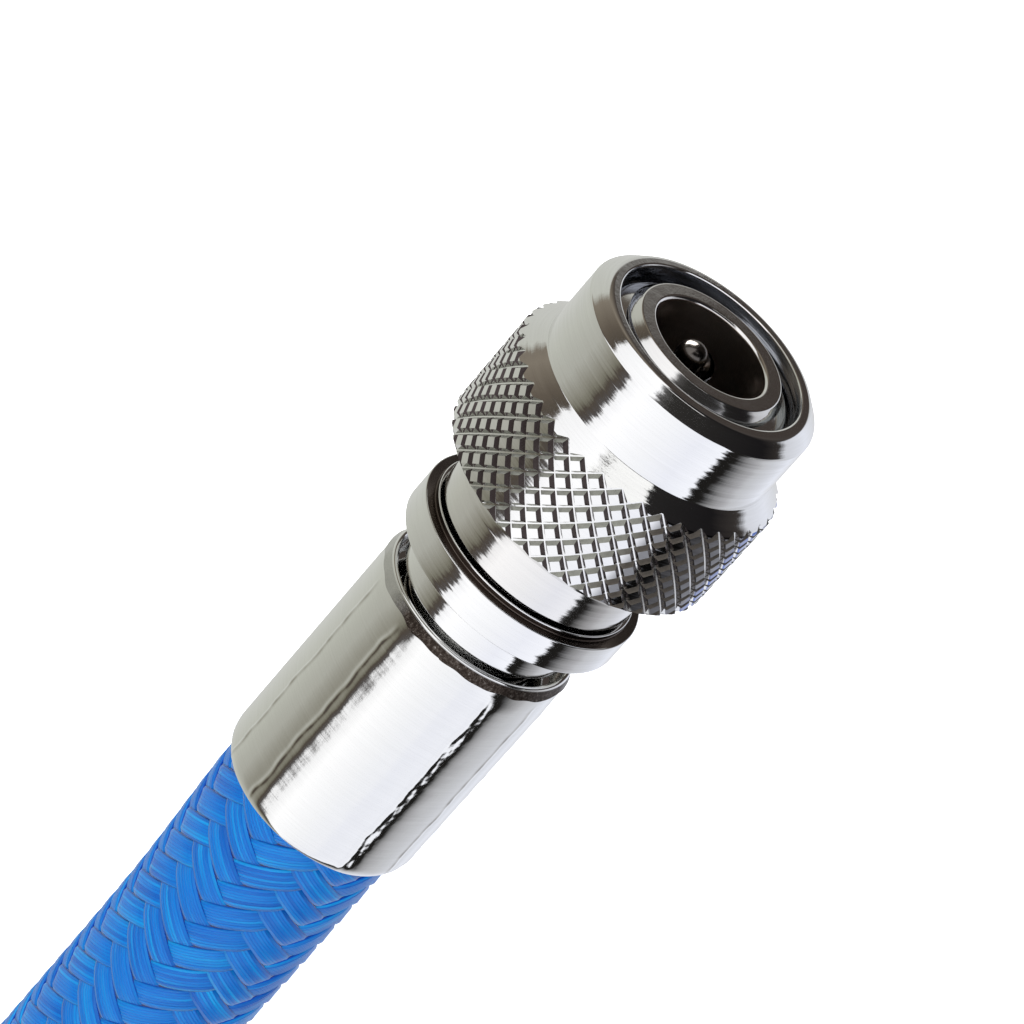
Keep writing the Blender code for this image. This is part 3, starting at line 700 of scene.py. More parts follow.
def make_valve(pin_shade_material, rubber, brass, white, spring):
    tilt = math.radians(2.3)
    end = 0.38
    core_end = 14.2
    cup = core_end + 0.24 + 0.36
    rear = cup + 0.9
    dome = []
    for i in range(17):
        angle = math.pi / 2 * i / 16
        dome.append((end + 0.9 * PIN_TIP_R * (1 - math.cos(angle)), PIN_TIP_R * math.sin(angle)))
    profile = dome + [
        (3.0, PIN_TIP_R), (3.4, 0.85), (5.2, 0.85), (5.2, 1.6), (5.7, 1.6), (5.7, 0.85),
        (cup, 0.85), (cup, 2.0), (cup + 0.54, 2.0), (rear, 0.85), (rear, 0.0),
    ]
    grid = round_grid(fillet(from_back(profile), 0.04, closed=False), 64, COUPLER)
    pin = mesh_from_grid("valve_pin_polished", grid, False, True, [pin_shade_material])
    low = cup - 0.12
    washer = turned(
        "valve_washer",
        from_back([(low - 0.36, 1.9), (low, 1.9), (low, 0.97), (low - 0.36, 0.97)]),
        [rubber], 64, edge=0.05,
    )
    pivot = Vector((MOUTH - rear, 0.0, COUPLER[2])) * MM
    turn = Matrix.Translation(pivot) @ Matrix.Rotation(tilt, 4, "Z") @ Matrix.Translation(-pivot)
    for piece, look, node in (
        (pin, "spring_steel", "valve_pin"),
        (washer, "black_rubber", "valve_seat_seal"),
    ):
        piece.data.transform(turn)
        place_piece(piece, "pin", look, node)
    barrel = turned(
        "core_barrel_turned",
        from_back([
            (8.6, 2.15), (9.8, 2.15), (10.1, 2.45), (11.0, 2.45), (11.0, 2.1), (12.2, 2.1),
            (12.2, 2.45), (13.9, 2.45), (14.2, 2.15), (14.2, 1.32), (8.6, 1.32),
        ]),
        [brass], 80, edge=0.05,
    )
    place_piece(barrel, ROOT, "brass_turned", "valve_core_barrel")
    seal = turned(
        "core_seal_ring",
        from_back([(11.12, 2.5), (12.08, 2.5), (12.08, 2.2), (11.12, 2.2)]),
        [white], 64, edge=0.08,
    )
    place_piece(seal, ROOT, "white_seal", "valve_core_seal")
    lean = math.sin(tilt) * (rear - 7.15)
    coil = tube(
        "valve_coil",
        helix(1.3, 0.3, MOUTH - 8.48 + 0.15, MOUTH - 5.82 - 0.15, 2.8, 28, (0.0, lean, COUPLER[2])),
        0.15, [spring], 10,
    )
    place_piece(coil, ROOT, "spring_steel", "valve_spring")
    return coil


# Hose end metal
FERRULE_LEN = 18.30
FERRULE_R = 6.95
FERRULE_STEPS = 720
FACES = 8
LIP_START = 17.50
LIP_END = 18.06
SHOULDER = 18.55
# Each pressed line: azimuth in degrees, height and half width in mm, how ragged it is
RIDGE_LINES = (
    (-57.0, 0.075, 0.13, 0.35),
    (-28.0, 0.034, 0.16, 0.30),
    (-23.5, 0.050, 0.55, 0.12),
    (18.0, 0.012, 0.35, 0.40),
    (33.8, 0.035, 0.20, 0.45),
    (40.0, 0.100, 1.00, 0.10),
    (67.0, 0.045, 0.14, 0.40),
    (85.0, 0.040, 0.14, 0.50),
    (108.0, 0.130, 0.28, 0.40),
    (153.0, 0.130, 0.28, 0.40),
    (198.0, 0.130, 0.28, 0.40),
    (243.0, 0.130, 0.28, 0.40),
)
# Crushed strips beside the lines: azimuth, half width in degrees and depth in mm
CRUSHED = (
    (37.6, 3.6, 0.010),
    (68.0, 1.8, 0.007),
    (-57.0, 1.2, 0.008),
)


def smooth_noise(values, seed, octaves=3):
    """Sum of sines with fixed phases, a repeatable wander between -1 and 1."""
    picks = np.random.default_rng(seed)
    total = np.zeros_like(values)
    weight = 0.0
    for k in range(octaves):
        for _ in range(3):
            rate = (2 ** k) * picks.uniform(0.7, 1.4)
            total += np.sin(values * rate + picks.uniform(0.0, math.tau)) / (2 ** k)
            weight += 0.55 / (2 ** k)
    return total / weight


def degrees_apart(first, second):
    return (first - second + 180.0) % 360.0 - 180.0


def crush(x, azimuth):
    """Small pits and dents left where the dies met, between -1 and 1."""
    arc = azimuth * FERRULE_R * math.pi / 180.0
    total = np.zeros_like(x)
    picks = np.random.default_rng(5)
    for size in (0.9, 0.45, 0.25):
        for _ in range(4):
            turn = picks.uniform(0.0, math.pi)
            rate = math.tau / (size * picks.uniform(0.8, 1.3))
            phase = picks.uniform(0.0, math.tau)
            along = x * math.cos(turn) + arc * math.sin(turn)
            total += np.sin(along * rate + phase) * size ** 0.5
    return total / 4.0


def lip_wave(a):
    """How far the edge between the pressed faces and the lip wanders."""
    return 0.17 * smooth_noise(a * 9.0, 11, 2)


def crimp(x, r, a):
    """Turns a plain ferrule into one pressed by eight dies.

    Thin ragged lines stand between the dies, and the lip in front of them has
    a wavy edge.
    """
    azimuth = np.degrees(a)
    outer = (r > 6.60) & (x < LIP_START + 0.01)
    grow = np.clip((16.9 - x) / 0.7, 0.0, 1.0) * np.clip((x + 0.2) / 0.9, 0.3, 1.0)
    change = np.zeros_like(r)
    for number, (place, height, half, ragged) in enumerate(RIDGE_LINES):
        wander = smooth_noise(x * 1.1 + number * 17.3, 3) * 0.10
        rough = smooth_noise(x * 3.1 + number * 29.7, 5) * ragged
        distance = degrees_apart(azimuth, place) * FERRULE_R * math.pi / 180.0 + wander
        change += height * (1.0 + rough) * np.exp(-(distance / half) ** 2)
    for place, half, depth in CRUSHED:
        near = np.exp(-(degrees_apart(azimuth, place) / half) ** 4)
        change += depth * near * crush(x, azimuth)
    faces = 0.025 * np.cos(np.radians(azimuth - 18.0) * FACES)
    r = np.where(outer, r + (change - faces) * grow, r)
    fall = (LIP_END - x) / (LIP_END - LIP_START)
    rise = np.clip((x - 16.2) / 1.2, 0.0, 1.0) * np.clip(fall, 0.0, 1.0)
    x = np.where(r > 6.60, x + lip_wave(a) * rise, x)
    return x, r, a


def make_ferrule(name, origin, material):
    outline = [(LIP_START + (LIP_END - LIP_START) * k / 6, 7.00 - 0.25 * k / 6) for k in range(7)]
    outline += [(18.10, 6.77), (18.20, 6.76), (18.27, 6.71), (FERRULE_LEN, 6.62)]
    outline += [(FERRULE_LEN, 6.5), (FERRULE_LEN - 0.2, 6.3), (17.1, 6.3), (17.1, 4.5)]
    outline += [(15.8, 4.5), (15.8, 6.15), (0.0, 6.15), (0.0, 6.74), (0.25, 6.88), (0.5, 6.93)]
    rows = 84
    outline += [(0.7 + (LIP_START - 0.04 - 0.7) * k / rows, FERRULE_R) for k in range(rows + 1)]
    grid = round_grid(outline, FERRULE_STEPS, origin, crimp)
    made = mesh_from_grid(name, grid, True, True, [material], degrees=40.0)
    mark_lip(made.data, origin)
    return made


def mark_lip(mesh, origin):
    """Writes the attribute lip, the share of painted shade: 1 on the lip's cone, a little less at
    the top.
    """
    places = np.zeros(len(mesh.vertices) * 3)
    mesh.vertices.foreach_get("co", places)
    x, y, z = (places.reshape(-1, 3) / MM - np.array(origin)).T
    edge = LIP_START + lip_wave(np.arctan2(-y, z) % math.tau)
    cone = (x > edge - 0.005) & (x < LIP_END + 0.05) & (np.hypot(y, z) > 6.2)
    turn = np.degrees(np.arctan2(-y, z))
    strength = 0.35 + 0.65 * np.clip((turn + 44.0) / 16.0, 0.0, 1.0)
    attribute = mesh.attributes.new("lip", "FLOAT", "POINT")
    attribute.data.foreach_set("value", np.where(cone, strength, 0.0).astype(np.float32))


def stem_profile():
    """Neck, hook groove, collar and barbs inside the ferrule and the hose."""
    points = [
        (17.25, 5.0), (17.25, 4.35), (15.65, 4.35), (15.65, 5.0), (15.05, 5.0), (15.05, 2.95),
    ]
    first = 14.75 - 0.8
    pitch = (first - 2.0) / 4
    for k in range(4):
        high = first - pitch * k
        points += [(high, 2.95), (high - 0.1, 3.25), (high - 0.4, 3.25)]
    points += [(2.0, 2.5), (2.0, 2.2)]
    return points


def make_insert(material, step_shade_material):
    x_of = 42.0
    outline = [
        (x_of - 18.13, 7.2), (x_of - 18.53, 7.2), (x_of - 18.53, 7.90), (x_of - 20.79, 7.90),
        (x_of - 20.79, 6.10), (x_of - 23.45, 6.10), (x_of - 23.45, 5.0),
    ]
    outline += stem_profile()
    socket = x_of - 22.73
    gland = x_of - 20.03
    outline += [(socket, 2.2), (socket, 4.7), (gland, 4.7), (gland, 5.6), (x_of - 18.13, 5.6)]
    insert = turned("insert_turned", outline, [material, step_shade_material], 192, NEAR_END, edge=0.08)
    paint_step(insert.data, 1, MOUTH - 18.56, MOUTH - 18.24, 7.12, 7.80)
    return insert


HEX_FLATS = 14.3
HEX_LEN = 8.0
HEX_TOP = SHOULDER + HEX_LEN
HEX_MID = SHOULDER + HEX_LEN / 2
THREAD_START = HEX_TOP + 2.0
THREAD_END = THREAD_START + 7.45
STUD_R = 4.72


def thread_change(x, r, a):
    """Raises a helical V thread on the stud."""
    pitch = 1.058
    depth = 0.60
    phase = (x / pitch + a / math.tau) % 1.0
    saw = 1.0 - np.abs(phase - 0.5) * 2.0
    profile = np.clip((saw - 0.12) / 0.76, 0.0, 1.0)
    rear = np.clip((x - THREAD_START) / 0.4, 0.0, 1.0)
    fade = np.clip((THREAD_END - 0.1 - x) / 0.7, 0.0, 1.0) * rear
    stud = (x > THREAD_START) & (x < THREAD_END) & (r > 4.5)
    r = np.where(stud, r - depth * (1.0 - profile) * fade, r)
    return x, r, a


def make_fitting(origin, material):
    front = THREAD_END - 0.6
    length = front - THREAD_START - 0.1
    count = 120
    outline = [(THREAD_END, 4.12), (front, STUD_R)]
    outline += [(front - length * k / count, STUD_R) for k in range(1, count + 1)]
    outline += [(THREAD_START, 3.75), (HEX_MID, 3.75), (HEX_MID, 5.0)]
    outline += stem_profile() + [(THREAD_END, 2.2)]
    grid = round_grid(outline, 144, origin, thread_change)
    core = mesh_from_grid("end_stud", grid, True, True, [material], degrees=30.0)
    corner = HEX_FLATS / 2 / math.cos(math.pi / 6)
    mesh = fill_mesh(
        "hexagon", bmesh.ops.create_cone, cap_ends=True, segments=6,
        radius1=corner * MM, radius2=corner * MM, depth=HEX_LEN * MM,
    )
    hexagon = link("end_hexagon", mesh, [material])
    middle = Vector((origin[0] + HEX_MID, origin[1], origin[2])) * MM
    hexagon.data.transform(Matrix.Translation(middle) @ Matrix.Rotation(math.pi / 2, 4, "Y"))
    high = HEX_TOP + 0.01
    low = SHOULDER - 0.01
    rounder = turned(
        "hex_rounder",
        [
            (high, 0.0), (high, 6.95), (HEX_TOP - 0.6, 8.75),
            (SHOULDER + 0.6, 8.75), (low, 6.95), (low, 0.0),
        ],
        [material], 128, origin, edge=0.02,
    )
    high = HEX_TOP + 1.0
    low = SHOULDER - 1.0
    bore = turned(
        "hex_bore", [(high, 0.0), (high, 3.6), (low, 3.6), (low, 0.0)],
        [material], 96, origin, edge=0.0001,
    )
    cut(hexagon, [rounder], "INTERSECT")
    cut(hexagon, [bore], "DIFFERENCE")
    bevel = hexagon.modifiers.new("edge", "BEVEL")
    bevel.width = 0.09 * MM
    bevel.segments = 3
    bevel.limit_method = "ANGLE"
    bevel.angle_limit = math.radians(24.0)
    settle(hexagon, [rounder, bore])
    smooth(hexagon.data, 30.0)
    return core, hexagon


# Hose
HOSE_LEN = 420.0
HOSE_IN = 14.5
BRAID_OVER = 9.0
HOSE_BEND = 312.0
HOSE_DRIFT = 0.28
FILAMENTS = 8
YARNS = 12
YARN_PITCH = 2.03
YARN_WIDTH = 0.975
BRAID_MID = 5.70
BRAID_AMP = 0.17
BRAID_CROWN = 0.12
BRAID_THICK = 0.16
TUBE_BORE_R = 3.6
SWELL = 0.30
SWELL_REACH = 11.0


def ease(share):
    share = min(max(share, 0.0), 1.0)
    return share * share * (3.0 - 2.0 * share)


def hose_route(steps=4000):
    """Centre line of the hose from the mouth of the near ferrule, in mm."""
    step = HOSE_LEN / steps
    straight = (HOSE_LEN - HOSE_BEND) / 2
    peak = math.tau / HOSE_BEND
    heading = math.pi
    x = NEAR_END[0]
    y = 0.0
    line = [(x, y, 0.0)]
    for i in range(steps):
        here = (i + 0.5) * step
        share = (here - straight) / HOSE_BEND
        if 0.0 < share < 1.0:
            heading += peak * math.sin(math.pi * share) ** 2 * step
        x += math.cos(heading) * step
        y += math.sin(heading) * step
        line.append((x, y, here + step / 2))
    route = []
    for x, y, here in line:
        drop = ease((here - 10.0) / 62.0)
        lift = ease((here - (HOSE_LEN - 60.0)) / 50.0)
        lean = -HOSE_DRIFT * ease(here / 14.0) * (1.0 - ease((here - 20.0) / 60.0))
        route.append((x, y + lean, 9.5 + (6.04 - 9.5) * drop + (7.15 - 6.04) * lift))
    return np.array(route)


class Route:
    """Points and frames along the hose, also a little past its two ends."""

    def __init__(self):
        line = hose_route()
        self.ends = (line[0], line[-1])
        before = line[0] + np.array([[HOSE_IN, 0.0, 0.0], [7.0, 0.0, 0.0]])
        after = line[-1] + np.array([[7.0, 0.0, 0.0], [HOSE_IN, 0.0, 0.0]])
        self.points = np.concatenate([before, line, after])
        steps = np.linalg.norm(np.diff(self.points, axis=0), axis=1)
        self.length = np.concatenate([[0.0], np.cumsum(steps)]) - HOSE_IN

    def at(self, s):
        """Point, upward normal and sideways normal at distances s."""
        point = self.look(s)
        way = self.look(s + 0.4) - self.look(s - 0.4)
        way /= np.linalg.norm(way, axis=-1)[..., None]
        up = np.array([0.0, 0.0, 1.0]) - way * way[..., 2:3]
        up /= np.linalg.norm(up, axis=-1)[..., None]
        side = np.cross(way, up)
        return point, up, side

    def look(self, s):
        return np.stack([np.interp(s, self.length, self.points[:, k]) for k in range(3)], axis=-1)


def swelling(s):
    """How much the hose is wider where it comes off a barbed stem, in mm."""
    near = np.minimum(np.abs(s), np.abs(s - HOSE_LEN))
    outside = (s > -0.5) & (s < HOSE_LEN + 0.5)
    return np.where(outside, SWELL * np.exp(-(near / SWELL_REACH) ** 2) + 0.06, 0.0)


def over_under(phase):
    """1 while a yarn lies over two others, -1 while it lies under two."""
    return np.tanh(1.9 * np.sin(math.pi / 2 * phase)) / math.tanh(1.9)


def yarn_stations(low, high):
    """Stations along a yarn, in crossings, closer together in the seen part."""
    fine_end = 35.0
    fine = np.arange(low, fine_end, 1.0 / 5)
    rest = np.arange(fine_end, high, 1.0)
    return np.concatenate([fine, rest])


def make_hose(route, material, core_material):
    """The braid: yarns in two directions, each over two and under two."""
    across = np.array([0.0, 0.16, 0.84, 1.0])
    crown = np.array([0.0, 0.92, 0.92, 0.0])
    columns = len(across)
    width = columns + 2
    stop = (HOSE_LEN + BRAID_OVER) * 2 / YARN_PITCH
    steps = yarn_stations(-BRAID_OVER * 2 / YARN_PITCH, stop)
    rows = len(steps)
    u = (across[None, :] - 0.5) * YARN_WIDTH
    walk = steps[:, None] + 0.0 * u
    verts = []
    faces = []
    data = []
    for family in (1, -1):
        for number in range(YARNS):
            if family == 1:
                a = number + u
                b = number - walk
                phase = number + b + 0.5
            else:
                b = number + u
                a = number + walk
                phase = a + number - 1.5
            s = (a - b) * YARN_PITCH / 2
            angle = (a + b) * math.pi / YARNS + math.radians(0.5)
            middle = BRAID_MID + over_under(phase) * BRAID_AMP + swelling(s)
            top = middle + crown[None, :] * BRAID_CROWN
            low = middle - BRAID_THICK
            point, up, side = route.at(s)
            out = np.cos(angle)[..., None] * up - np.sin(angle)[..., None] * side
            upper = point + out * top[..., None]
            lower = (point + out * low[..., None])[:, [columns - 1, 0]]
            verts.append(np.concatenate([upper, lower], axis=1).reshape(-1, 3))
            coordinate = np.zeros((rows, width, 3))
            coordinate[:, :columns, 0] = across
            coordinate[:, columns, 0] = 1.0
            coordinate[:, :, 1] = steps[:, None]
            coordinate[:, :, 2] = number + (YARNS if family < 0 else 0)
            data.append(coordinate.reshape(-1, 3))
            quads = grid_faces(rows, width, False, True) + len(faces) * rows * width
            faces.append(quads[:, ::-1] if family > 0 else quads)
    verts = np.concatenate(verts)
    faces = np.concatenate(faces)
    braid_faces = len(faces)
    core_s = np.concatenate([
        [-HOSE_IN], np.arange(-12.0, 40.0, 2.0), np.arange(40.0, HOSE_LEN + 14.0, 4.0),
        [HOSE_LEN + HOSE_IN],
    ])
    sides = 24
    turn = np.linspace(0.0, math.tau, sides, endpoint=False)[None, :, None]
    point, up, side = route.at(core_s)
    ring = np.cos(turn) * up[:, None, :] + np.sin(turn) * side[:, None, :]
    outer = point[:, None, :] + ring * (BRAID_MID - BRAID_AMP - 0.12)
    inner = point[:, None, :] + ring * TUBE_BORE_R
    core = np.concatenate([outer, inner[::-1]])
    faces = np.concatenate([faces, grid_faces(len(core), sides, True, True) + len(verts)])
    core = core.reshape(-1, 3)
    verts = np.concatenate([verts, core])
    data = np.concatenate(data + [np.zeros((len(core), 3))])
    mesh = bpy.data.meshes.new("hose_braid")
    mesh.from_pydata((verts * MM).tolist(), [], faces.tolist())
    attribute = mesh.attributes.new("yarn", "FLOAT_VECTOR", "POINT")
    attribute.data.foreach_set("vector", data.astype(np.float32).ravel())
    made = link("hose_braid", mesh, [material, core_material])
    made.visible_glossy = False
    numbers = np.zeros(len(faces), np.int32)
    numbers[braid_faces:] = 1
    mesh.polygons.foreach_set("material_index", numbers)
    mesh.shade_smooth()
    mesh.update()
    return made


# Camera and stage
def make_camera():
    """Camera at the photograph's angle, from the fit of the coupling's rings."""
    tip = math.radians(59.78)
    roll = math.radians(48.96)
    along = Vector((math.sin(tip) * math.cos(roll), math.sin(tip) * math.sin(roll), math.cos(tip)))
    left = Vector((-math.sin(roll), math.cos(roll), 0.0))
    up = along.cross(left)
    turn = Matrix((along, left, up))
    focal = 5483.0
    distance = 323.7
    size = 1024.0
    across, down = [(pixel - size / 2) / focal for pixel in (712.4, 346.6)]
    place = Vector((MOUTH, 0.0, COUPLER[2])) - turn @ (Vector((across, -down, -1.0)) * distance)
    data = bpy.data.cameras.new("camera")
    data.sensor_width = 36.0
    data.lens = focal / size * data.sensor_width
    data.clip_start = 0.01
    data.clip_end = 10.0
    camera = bpy.data.objects.new("camera", data)
    camera.matrix_world = Matrix.Translation(place * MM) @ turn.to_4x4()
    bpy.context.scene.collection.objects.link(camera)
    bpy.context.scene.camera = camera


# Colours round the X axis: degrees from straight up towards -Y
REAR_WALL = (
    (-180, (0.62, 0.62, 0.60)),
    (-150, (0.66, 0.67, 0.63)),
    (-115, (0.60, 0.61, 0.55)),
    (-80, (0.50, 0.50, 0.45)),
    (-60, (0.32, 0.31, 0.26)),
    (-51, (0.22, 0.21, 0.165)),
    (-45, (0.09, 0.073, 0.058)),
    (-38, (0.10, 0.09, 0.086)),
    (-36, (0.085, 0.078, 0.076)),
    (-32.5, (1.15, 1.15, 1.18)),
    (-20, (1.30, 1.30, 1.33)),
    (15, (1.16, 1.17, 1.22)),
    (45, (1.05, 1.07, 1.17)),
    (68, (1.15, 1.17, 1.26)),
    (71, (0.014, 0.013, 0.012)),
    (82, (0.016, 0.015, 0.014)),
    (87, (0.12, 0.12, 0.125)),
    (93, (0.27, 0.27, 0.28)),
    (100, (0.40, 0.40, 0.42)),
    (107, (0.50, 0.50, 0.53)),
    (114, (0.64, 0.65, 0.69)),
    (150, (0.92, 0.95, 1.05)),
    (180, (0.62, 0.62, 0.60)),
)
FRONT_WALL = (
    (-180, (0.060, 0.049, 0.044)),
    (-117, (0.26, 0.225, 0.18)),
    (-95, (0.14, 0.115, 0.09)),
    (-80, (0.09, 0.075, 0.06)),
    (-76, (1.15, 1.15, 1.17)),
    (-16, (1.3, 1.3, 1.33)),
    (-8, (0.10, 0.095, 0.095)),
    (8, (0.034, 0.032, 0.030)),
    (110, (0.012, 0.011, 0.012)),
    (140, (0.07, 0.06, 0.055)),
    (180, (0.060, 0.049, 0.044)),
)
# How far ahead a direction has to point before the front wall takes over
FRONT_EDGE = (
    (-180, 0.40),
    (-85, 0.38),
    (-75, 0.30),
    (-14, 0.30),
    (-6, 0.60),
    (76, 0.55),
    (84, 0.30),
    (180, 0.34),
)


def turn_ramp(net, share, stops):
    """A ramp over the turn round the X axis, with stops in degrees."""
    return net.ramp(share, [((degrees + 180.0) / 360.0, colour) for degrees, colour in stops])


def make_world():
    """Soft studio surroundings, which the chrome mirrors.

    A broad soft light hangs above, a grey-green wall stands on the +Y side, a
    narrow dark gap lies low on the -Y side, and it is dark ahead of the mouth,
    but for a pale patch high up that the chamfer of the knurl mirrors. Only
    glossy rays meet all this. Other rays meet a soft light from above.
    """
    world = bpy.data.worlds.new("studio")
    world.use_nodes = True
    bpy.context.scene.world = world
    net = Net(world.node_tree)
    way = net.add("ShaderNodeTexCoord").outputs["Generated"]
    parts = net.add("ShaderNodeSeparateXYZ", {0: way})
    ahead = parts.outputs["X"]
    plus_y = parts.outputs["Y"]
    up = parts.outputs["Z"]
    minus_y = net.times(plus_y, -1.0)
    turn = net.math("ARCTAN2", minus_y, up)
    share = net.plus(net.times(turn, 1.0 / math.tau), 0.5)
    rear = turn_ramp(net, share, REAR_WALL)
    front = turn_ramp(net, share, FRONT_WALL)
    edge = turn_ramp(net, share, [(degrees, (level,) * 3) for degrees, level in FRONT_EDGE])
    beyond = net.math("DIVIDE", net.minus(ahead, edge), 0.08)
    forward = net.math("SMOOTH_MIN", net.math("MAXIMUM", beyond, 0.0), 1.0, 0.1)
    mirrored = net.mix(forward, rear, front)
    height = net.math("MULTIPLY_ADD", net.math("MAXIMUM", minus_y, 0.0), 0.29, up)
    pale = net.math("DIVIDE", net.minus(height, 0.33), 0.015, clamp=True)
    limits = ((height, 0.415, 0.015), (minus_y, 0.42, 0.03), (plus_y, 0.14, 0.04))
    for value, limit, fade in limits:
        inside = net.math("DIVIDE", net.minus(limit, value), fade, clamp=True)
        pale = net.times(pale, inside)
    pale = net.times(pale, net.math("GREATER_THAN", ahead, 0.5))
    mirrored = net.mix(pale, mirrored, (1.2, 1.2, 1.2, 1.0))
    low = net.minus(net.times(minus_y, 0.9), net.times(up, 0.3))
    low = net.plus(low, 0.2, clamp=True)
    ambient = net.mix(low, (0.62, 0.65, 0.68, 1.0), (0.14, 0.17, 0.30, 1.0))
    path = net.add("ShaderNodeLightPath")
    seen = net.mix(path.outputs["Is Glossy Ray"], ambient, mirrored)
    seen = net.mix(path.outputs["Is Camera Ray"], seen, (1.0, 1.0, 1.0, 1.0))
    back = net.add("ShaderNodeBackground", {"Color": seen, "Strength": 1.0})
    net.add("ShaderNodeOutputWorld", {"Surface": back})


def make_floor():
    half = 3.0
    low = -0.00002
    corners = [(-half, -half, low), (half, -half, low), (half, half, low), (-half, half, low)]
    mesh = bpy.data.meshes.new("floor")
    mesh.from_pydata(corners, [], [(0, 1, 2, 3)])
    made, net = new_material("floor_pale")
    close_material(made, net, {
        "Base Color": (0.80, 0.80, 0.80, 1.0), "Roughness": 0.9,
        "Emission Color": (1.0, 1.0, 1.0, 1.0), "Emission Strength": 0.9,
    })
    floor = link("floor", mesh, [made])
    floor.visible_glossy = False


def area_lamp(name, place, way, power, size):
    """A lamp at a place in metres that shines along way."""
    data = bpy.data.lights.new(name, "AREA")
    data.size = size
    data.energy = power
    lamp = bpy.data.objects.new(name, data)
    lamp.location = place
    lamp.rotation_mode = "QUATERNION"
    lamp.rotation_quaternion = way.to_track_quat("-Z", "Y")
    lamp.visible_camera = False
    bpy.context.scene.collection.objects.link(lamp)
    return lamp


def make_lights():
    for name, place, size, power in (
        ("key", (0.10, 0.10, 0.6), 0.35, 4.0),
        ("fill", (-0.5, -0.4, 0.5), 0.6, 0.8),
    ):
        aim = Vector((0.0, -0.03, 0.0)) - Vector(place)
        area_lamp(name, place, aim, power, size).visible_glossy = False


def light_pin(pin):
    """A narrow lamp whose light only the tip of the pin receives."""
    tip = Vector((MOUTH - 0.4, 0.5, COUPLER[2])) * MM
    way = Vector((0.50, 0.62, -0.56)).normalized()
    lamp = area_lamp("pin_glint", tip + way * 12.0 * MM, -way, 0.005, 12.0 * MM)
    lamp.data.shape = "RECTANGLE"
    lamp.data.size_y = 7.0 * MM
    lit = bpy.data.collections.new("lit_by_glint")
    lit.objects.link(pin)
    lamp.light_linking.receiver_collection = lit


# Build
make_camera()
route = Route()
FAR_END = tuple(route.ends[1])

chrome_bright = chrome_material("chrome_bright", (0.84, 0.84, 0.83), 0.045, 0.16, 0.05)
chrome_body = chrome_material("chrome_body", (0.78, 0.77, 0.75), 0.07, 0.16, 0.06)
# the knurl's tops carry painted shade and a painted hose reflection on their -Y side
chrome_knurl = chrome_material(
    "chrome_knurl", (0.84, 0.84, 0.83), 0.045, 0.16, 0.05, shade=True,
)
# painted shade: a darker, bluish copy of the chrome inside the sleeve's mouth
chrome_recess_shade = chrome_material("chrome_recess_shade", (0.60, 0.63, 0.70), 0.12, 0.9, 0.3, streak=0.5)
# painted shade: a darker brown copy of the chrome inside the bore
chrome_bore_shade = chrome_material("chrome_bore_shade", (0.42, 0.35, 0.30), 0.22, 0.3, 0.1)
# painted shade: a nearly black copy of the chrome on the insert's step beside the ferrule's front
chrome_step_shade = chrome_material("chrome_step_shade", (0.13, 0.105, 0.09), 0.16, 0.3, 0.1)
# painted shade on the lower flanks, and a painted olive reflection with painted shade on its -Y
# side on the upper flanks
flank_painted_shade = plain_material("flank_painted_shade", (0.055, 0.041, 0.040), 0.20, 0.6, 0.5, 2600.0)
flank_painted_reflection = plain_material(
    "flank_painted_reflection", (0.33, 0.33, 0.285), 0.25, 0.45, 0.9, 2600.0, KNURL_FLANK_SHADE,
)
chrome_ferrule = chrome_material(
    "chrome_ferrule", (0.83, 0.83, 0.81), 0.05, 0.05, 0.03, spike=0.12, lip=True,
)
chrome_far = chrome_material(
    "chrome_far", (0.80, 0.80, 0.79), 0.06, 0.10, 0.05, centre=FAR_END, lip=True,
)
steel = plain_material("steel_wire", (0.62, 0.62, 0.61), 0.16, 1.0)
ball_steel = plain_material("steel_ball", (0.22, 0.21, 0.20), 0.10, 1.0, 0.1)
# painted shade: the pin is darker steel because it sits in the bore
pin_shaded_steel = plain_material("steel_pin_shaded", (0.11, 0.10, 0.09), 0.14, 1.0, 0.2, 700.0)
brass = plain_material("brass_core", (0.55, 0.40, 0.16), 0.28, 1.0, 0.3)
rubber = plain_material("rubber_black", (0.02, 0.02, 0.021), 0.5, 0.0)
white_seal = plain_material("seal_white", (0.72, 0.72, 0.68), 0.45, 0.0)
braid = braid_material()
braid_core = plain_material("braid_core", (0.002, 0.12, 0.42), 0.6, 0.0)

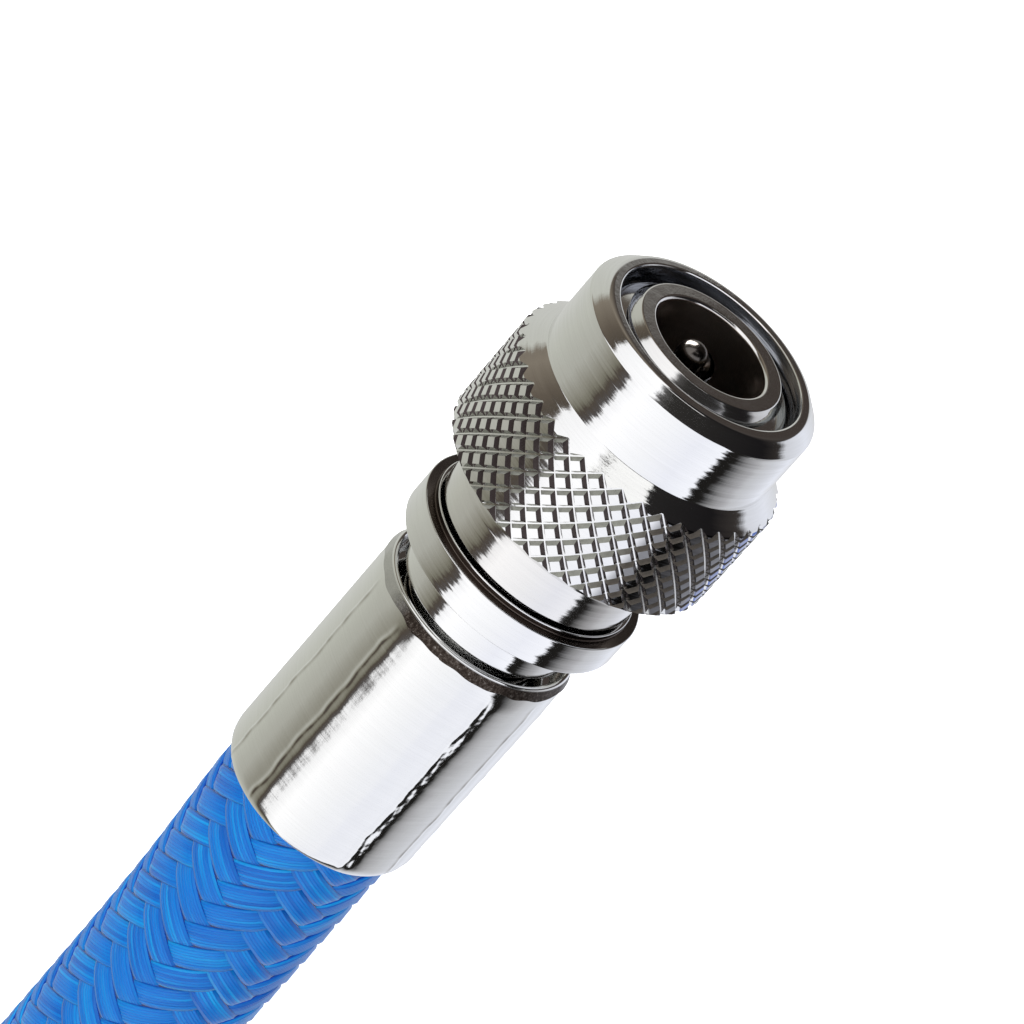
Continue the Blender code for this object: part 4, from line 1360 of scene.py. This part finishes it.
hose = make_hose(route, braid, braid_core)
place_piece(hose, ROOT, "blue_braid", "hose")
sleeve = make_sleeve([chrome_knurl, chrome_recess_shade, flank_painted_shade, flank_painted_reflection])
place_piece(sleeve, "sleeve", "chrome_plate", "release_sleeve")
place_piece(make_body(chrome_body, chrome_bore_shade), ROOT, "chrome_plate", "coupler_body")
place_piece(make_insert(chrome_bright, chrome_step_shade), ROOT, "chrome_plate", "hose_insert")
ferrule_near = make_ferrule("ferrule_near", NEAR_END, chrome_ferrule)
place_piece(ferrule_near, ROOT, "chrome_plate", "crimp_ferrule")
ferrule_far = make_ferrule("ferrule_far", FAR_END, chrome_far)
place_piece(ferrule_far, ROOT, "chrome_plate", "far_ferrule")
stud, hexagon = make_fitting(FAR_END, chrome_far)
place_piece(stud, ROOT, "chrome_plate", "end_fitting")
place_piece(hexagon, ROOT, "chrome_plate")
ring_x = FAR_END[0] + SHOULDER + 9.0
fitting_ring = torus("fitting_ring", (ring_x, FAR_END[1], FAR_END[2]), 4.67, 1.6, rubber)
place_piece(fitting_ring, ROOT, "black_rubber", "fitting_o_ring")
bore_ring = torus("bore_ring", (MOUTH - 6.5, 0.0, 9.5), 4.48, 1.4, rubber)
place_piece(bore_ring, ROOT, "black_rubber", "bore_o_ring")
spigot_ring = torus("spigot_ring", (MOUTH - 19.41, 0.0, 9.5), 5.0, 1.0, rubber)
place_piece(spigot_ring, ROOT, "black_rubber", "body_o_ring")
place_piece(make_retaining_ring(steel), ROOT, "spring_steel", "retaining_ring")

coil = make_valve(pin_shaded_steel, rubber, brass, white_seal, steel)
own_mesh(coil)

spring_points = helix(6.71, 0.6, MOUTH - 11.48 + 0.3, MOUTH - 5.72 - 0.3, 3.5, 48, COUPLER)
sleeve_spring = tube("sleeve_coil", spring_points, 0.30, [steel], 14)
place_piece(sleeve_spring, "spring", "spring_steel", "release_spring")
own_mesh(sleeve_spring)

for k in range(BALL_COUNT):
    mesh = fill_mesh("ball", bmesh.ops.create_icosphere, subdivisions=4, radius=BALL_R * MM)
    mesh.shade_smooth()
    ball = link("ball_%d" % (k + 1), mesh, [ball_steel])
    ball.data.transform(Matrix.Translation(ball_place(k, BALL_OUT)[0]))
    place_piece(ball, "ball_%d" % (k + 1), "ball_steel", "locking_ball_%d" % (k + 1))

picks = np.linspace(-HOSE_IN, HOSE_LEN + HOSE_IN, 91)
path = [tuple(p * MM) for p in route.look(picks)]

make_world()
make_lights()
light_pin(bpy.data.objects["valve_pin_polished"])
make_floor()
scene = bpy.context.scene
scene.view_settings.view_transform = "Standard"
scene.view_settings.look = "None"
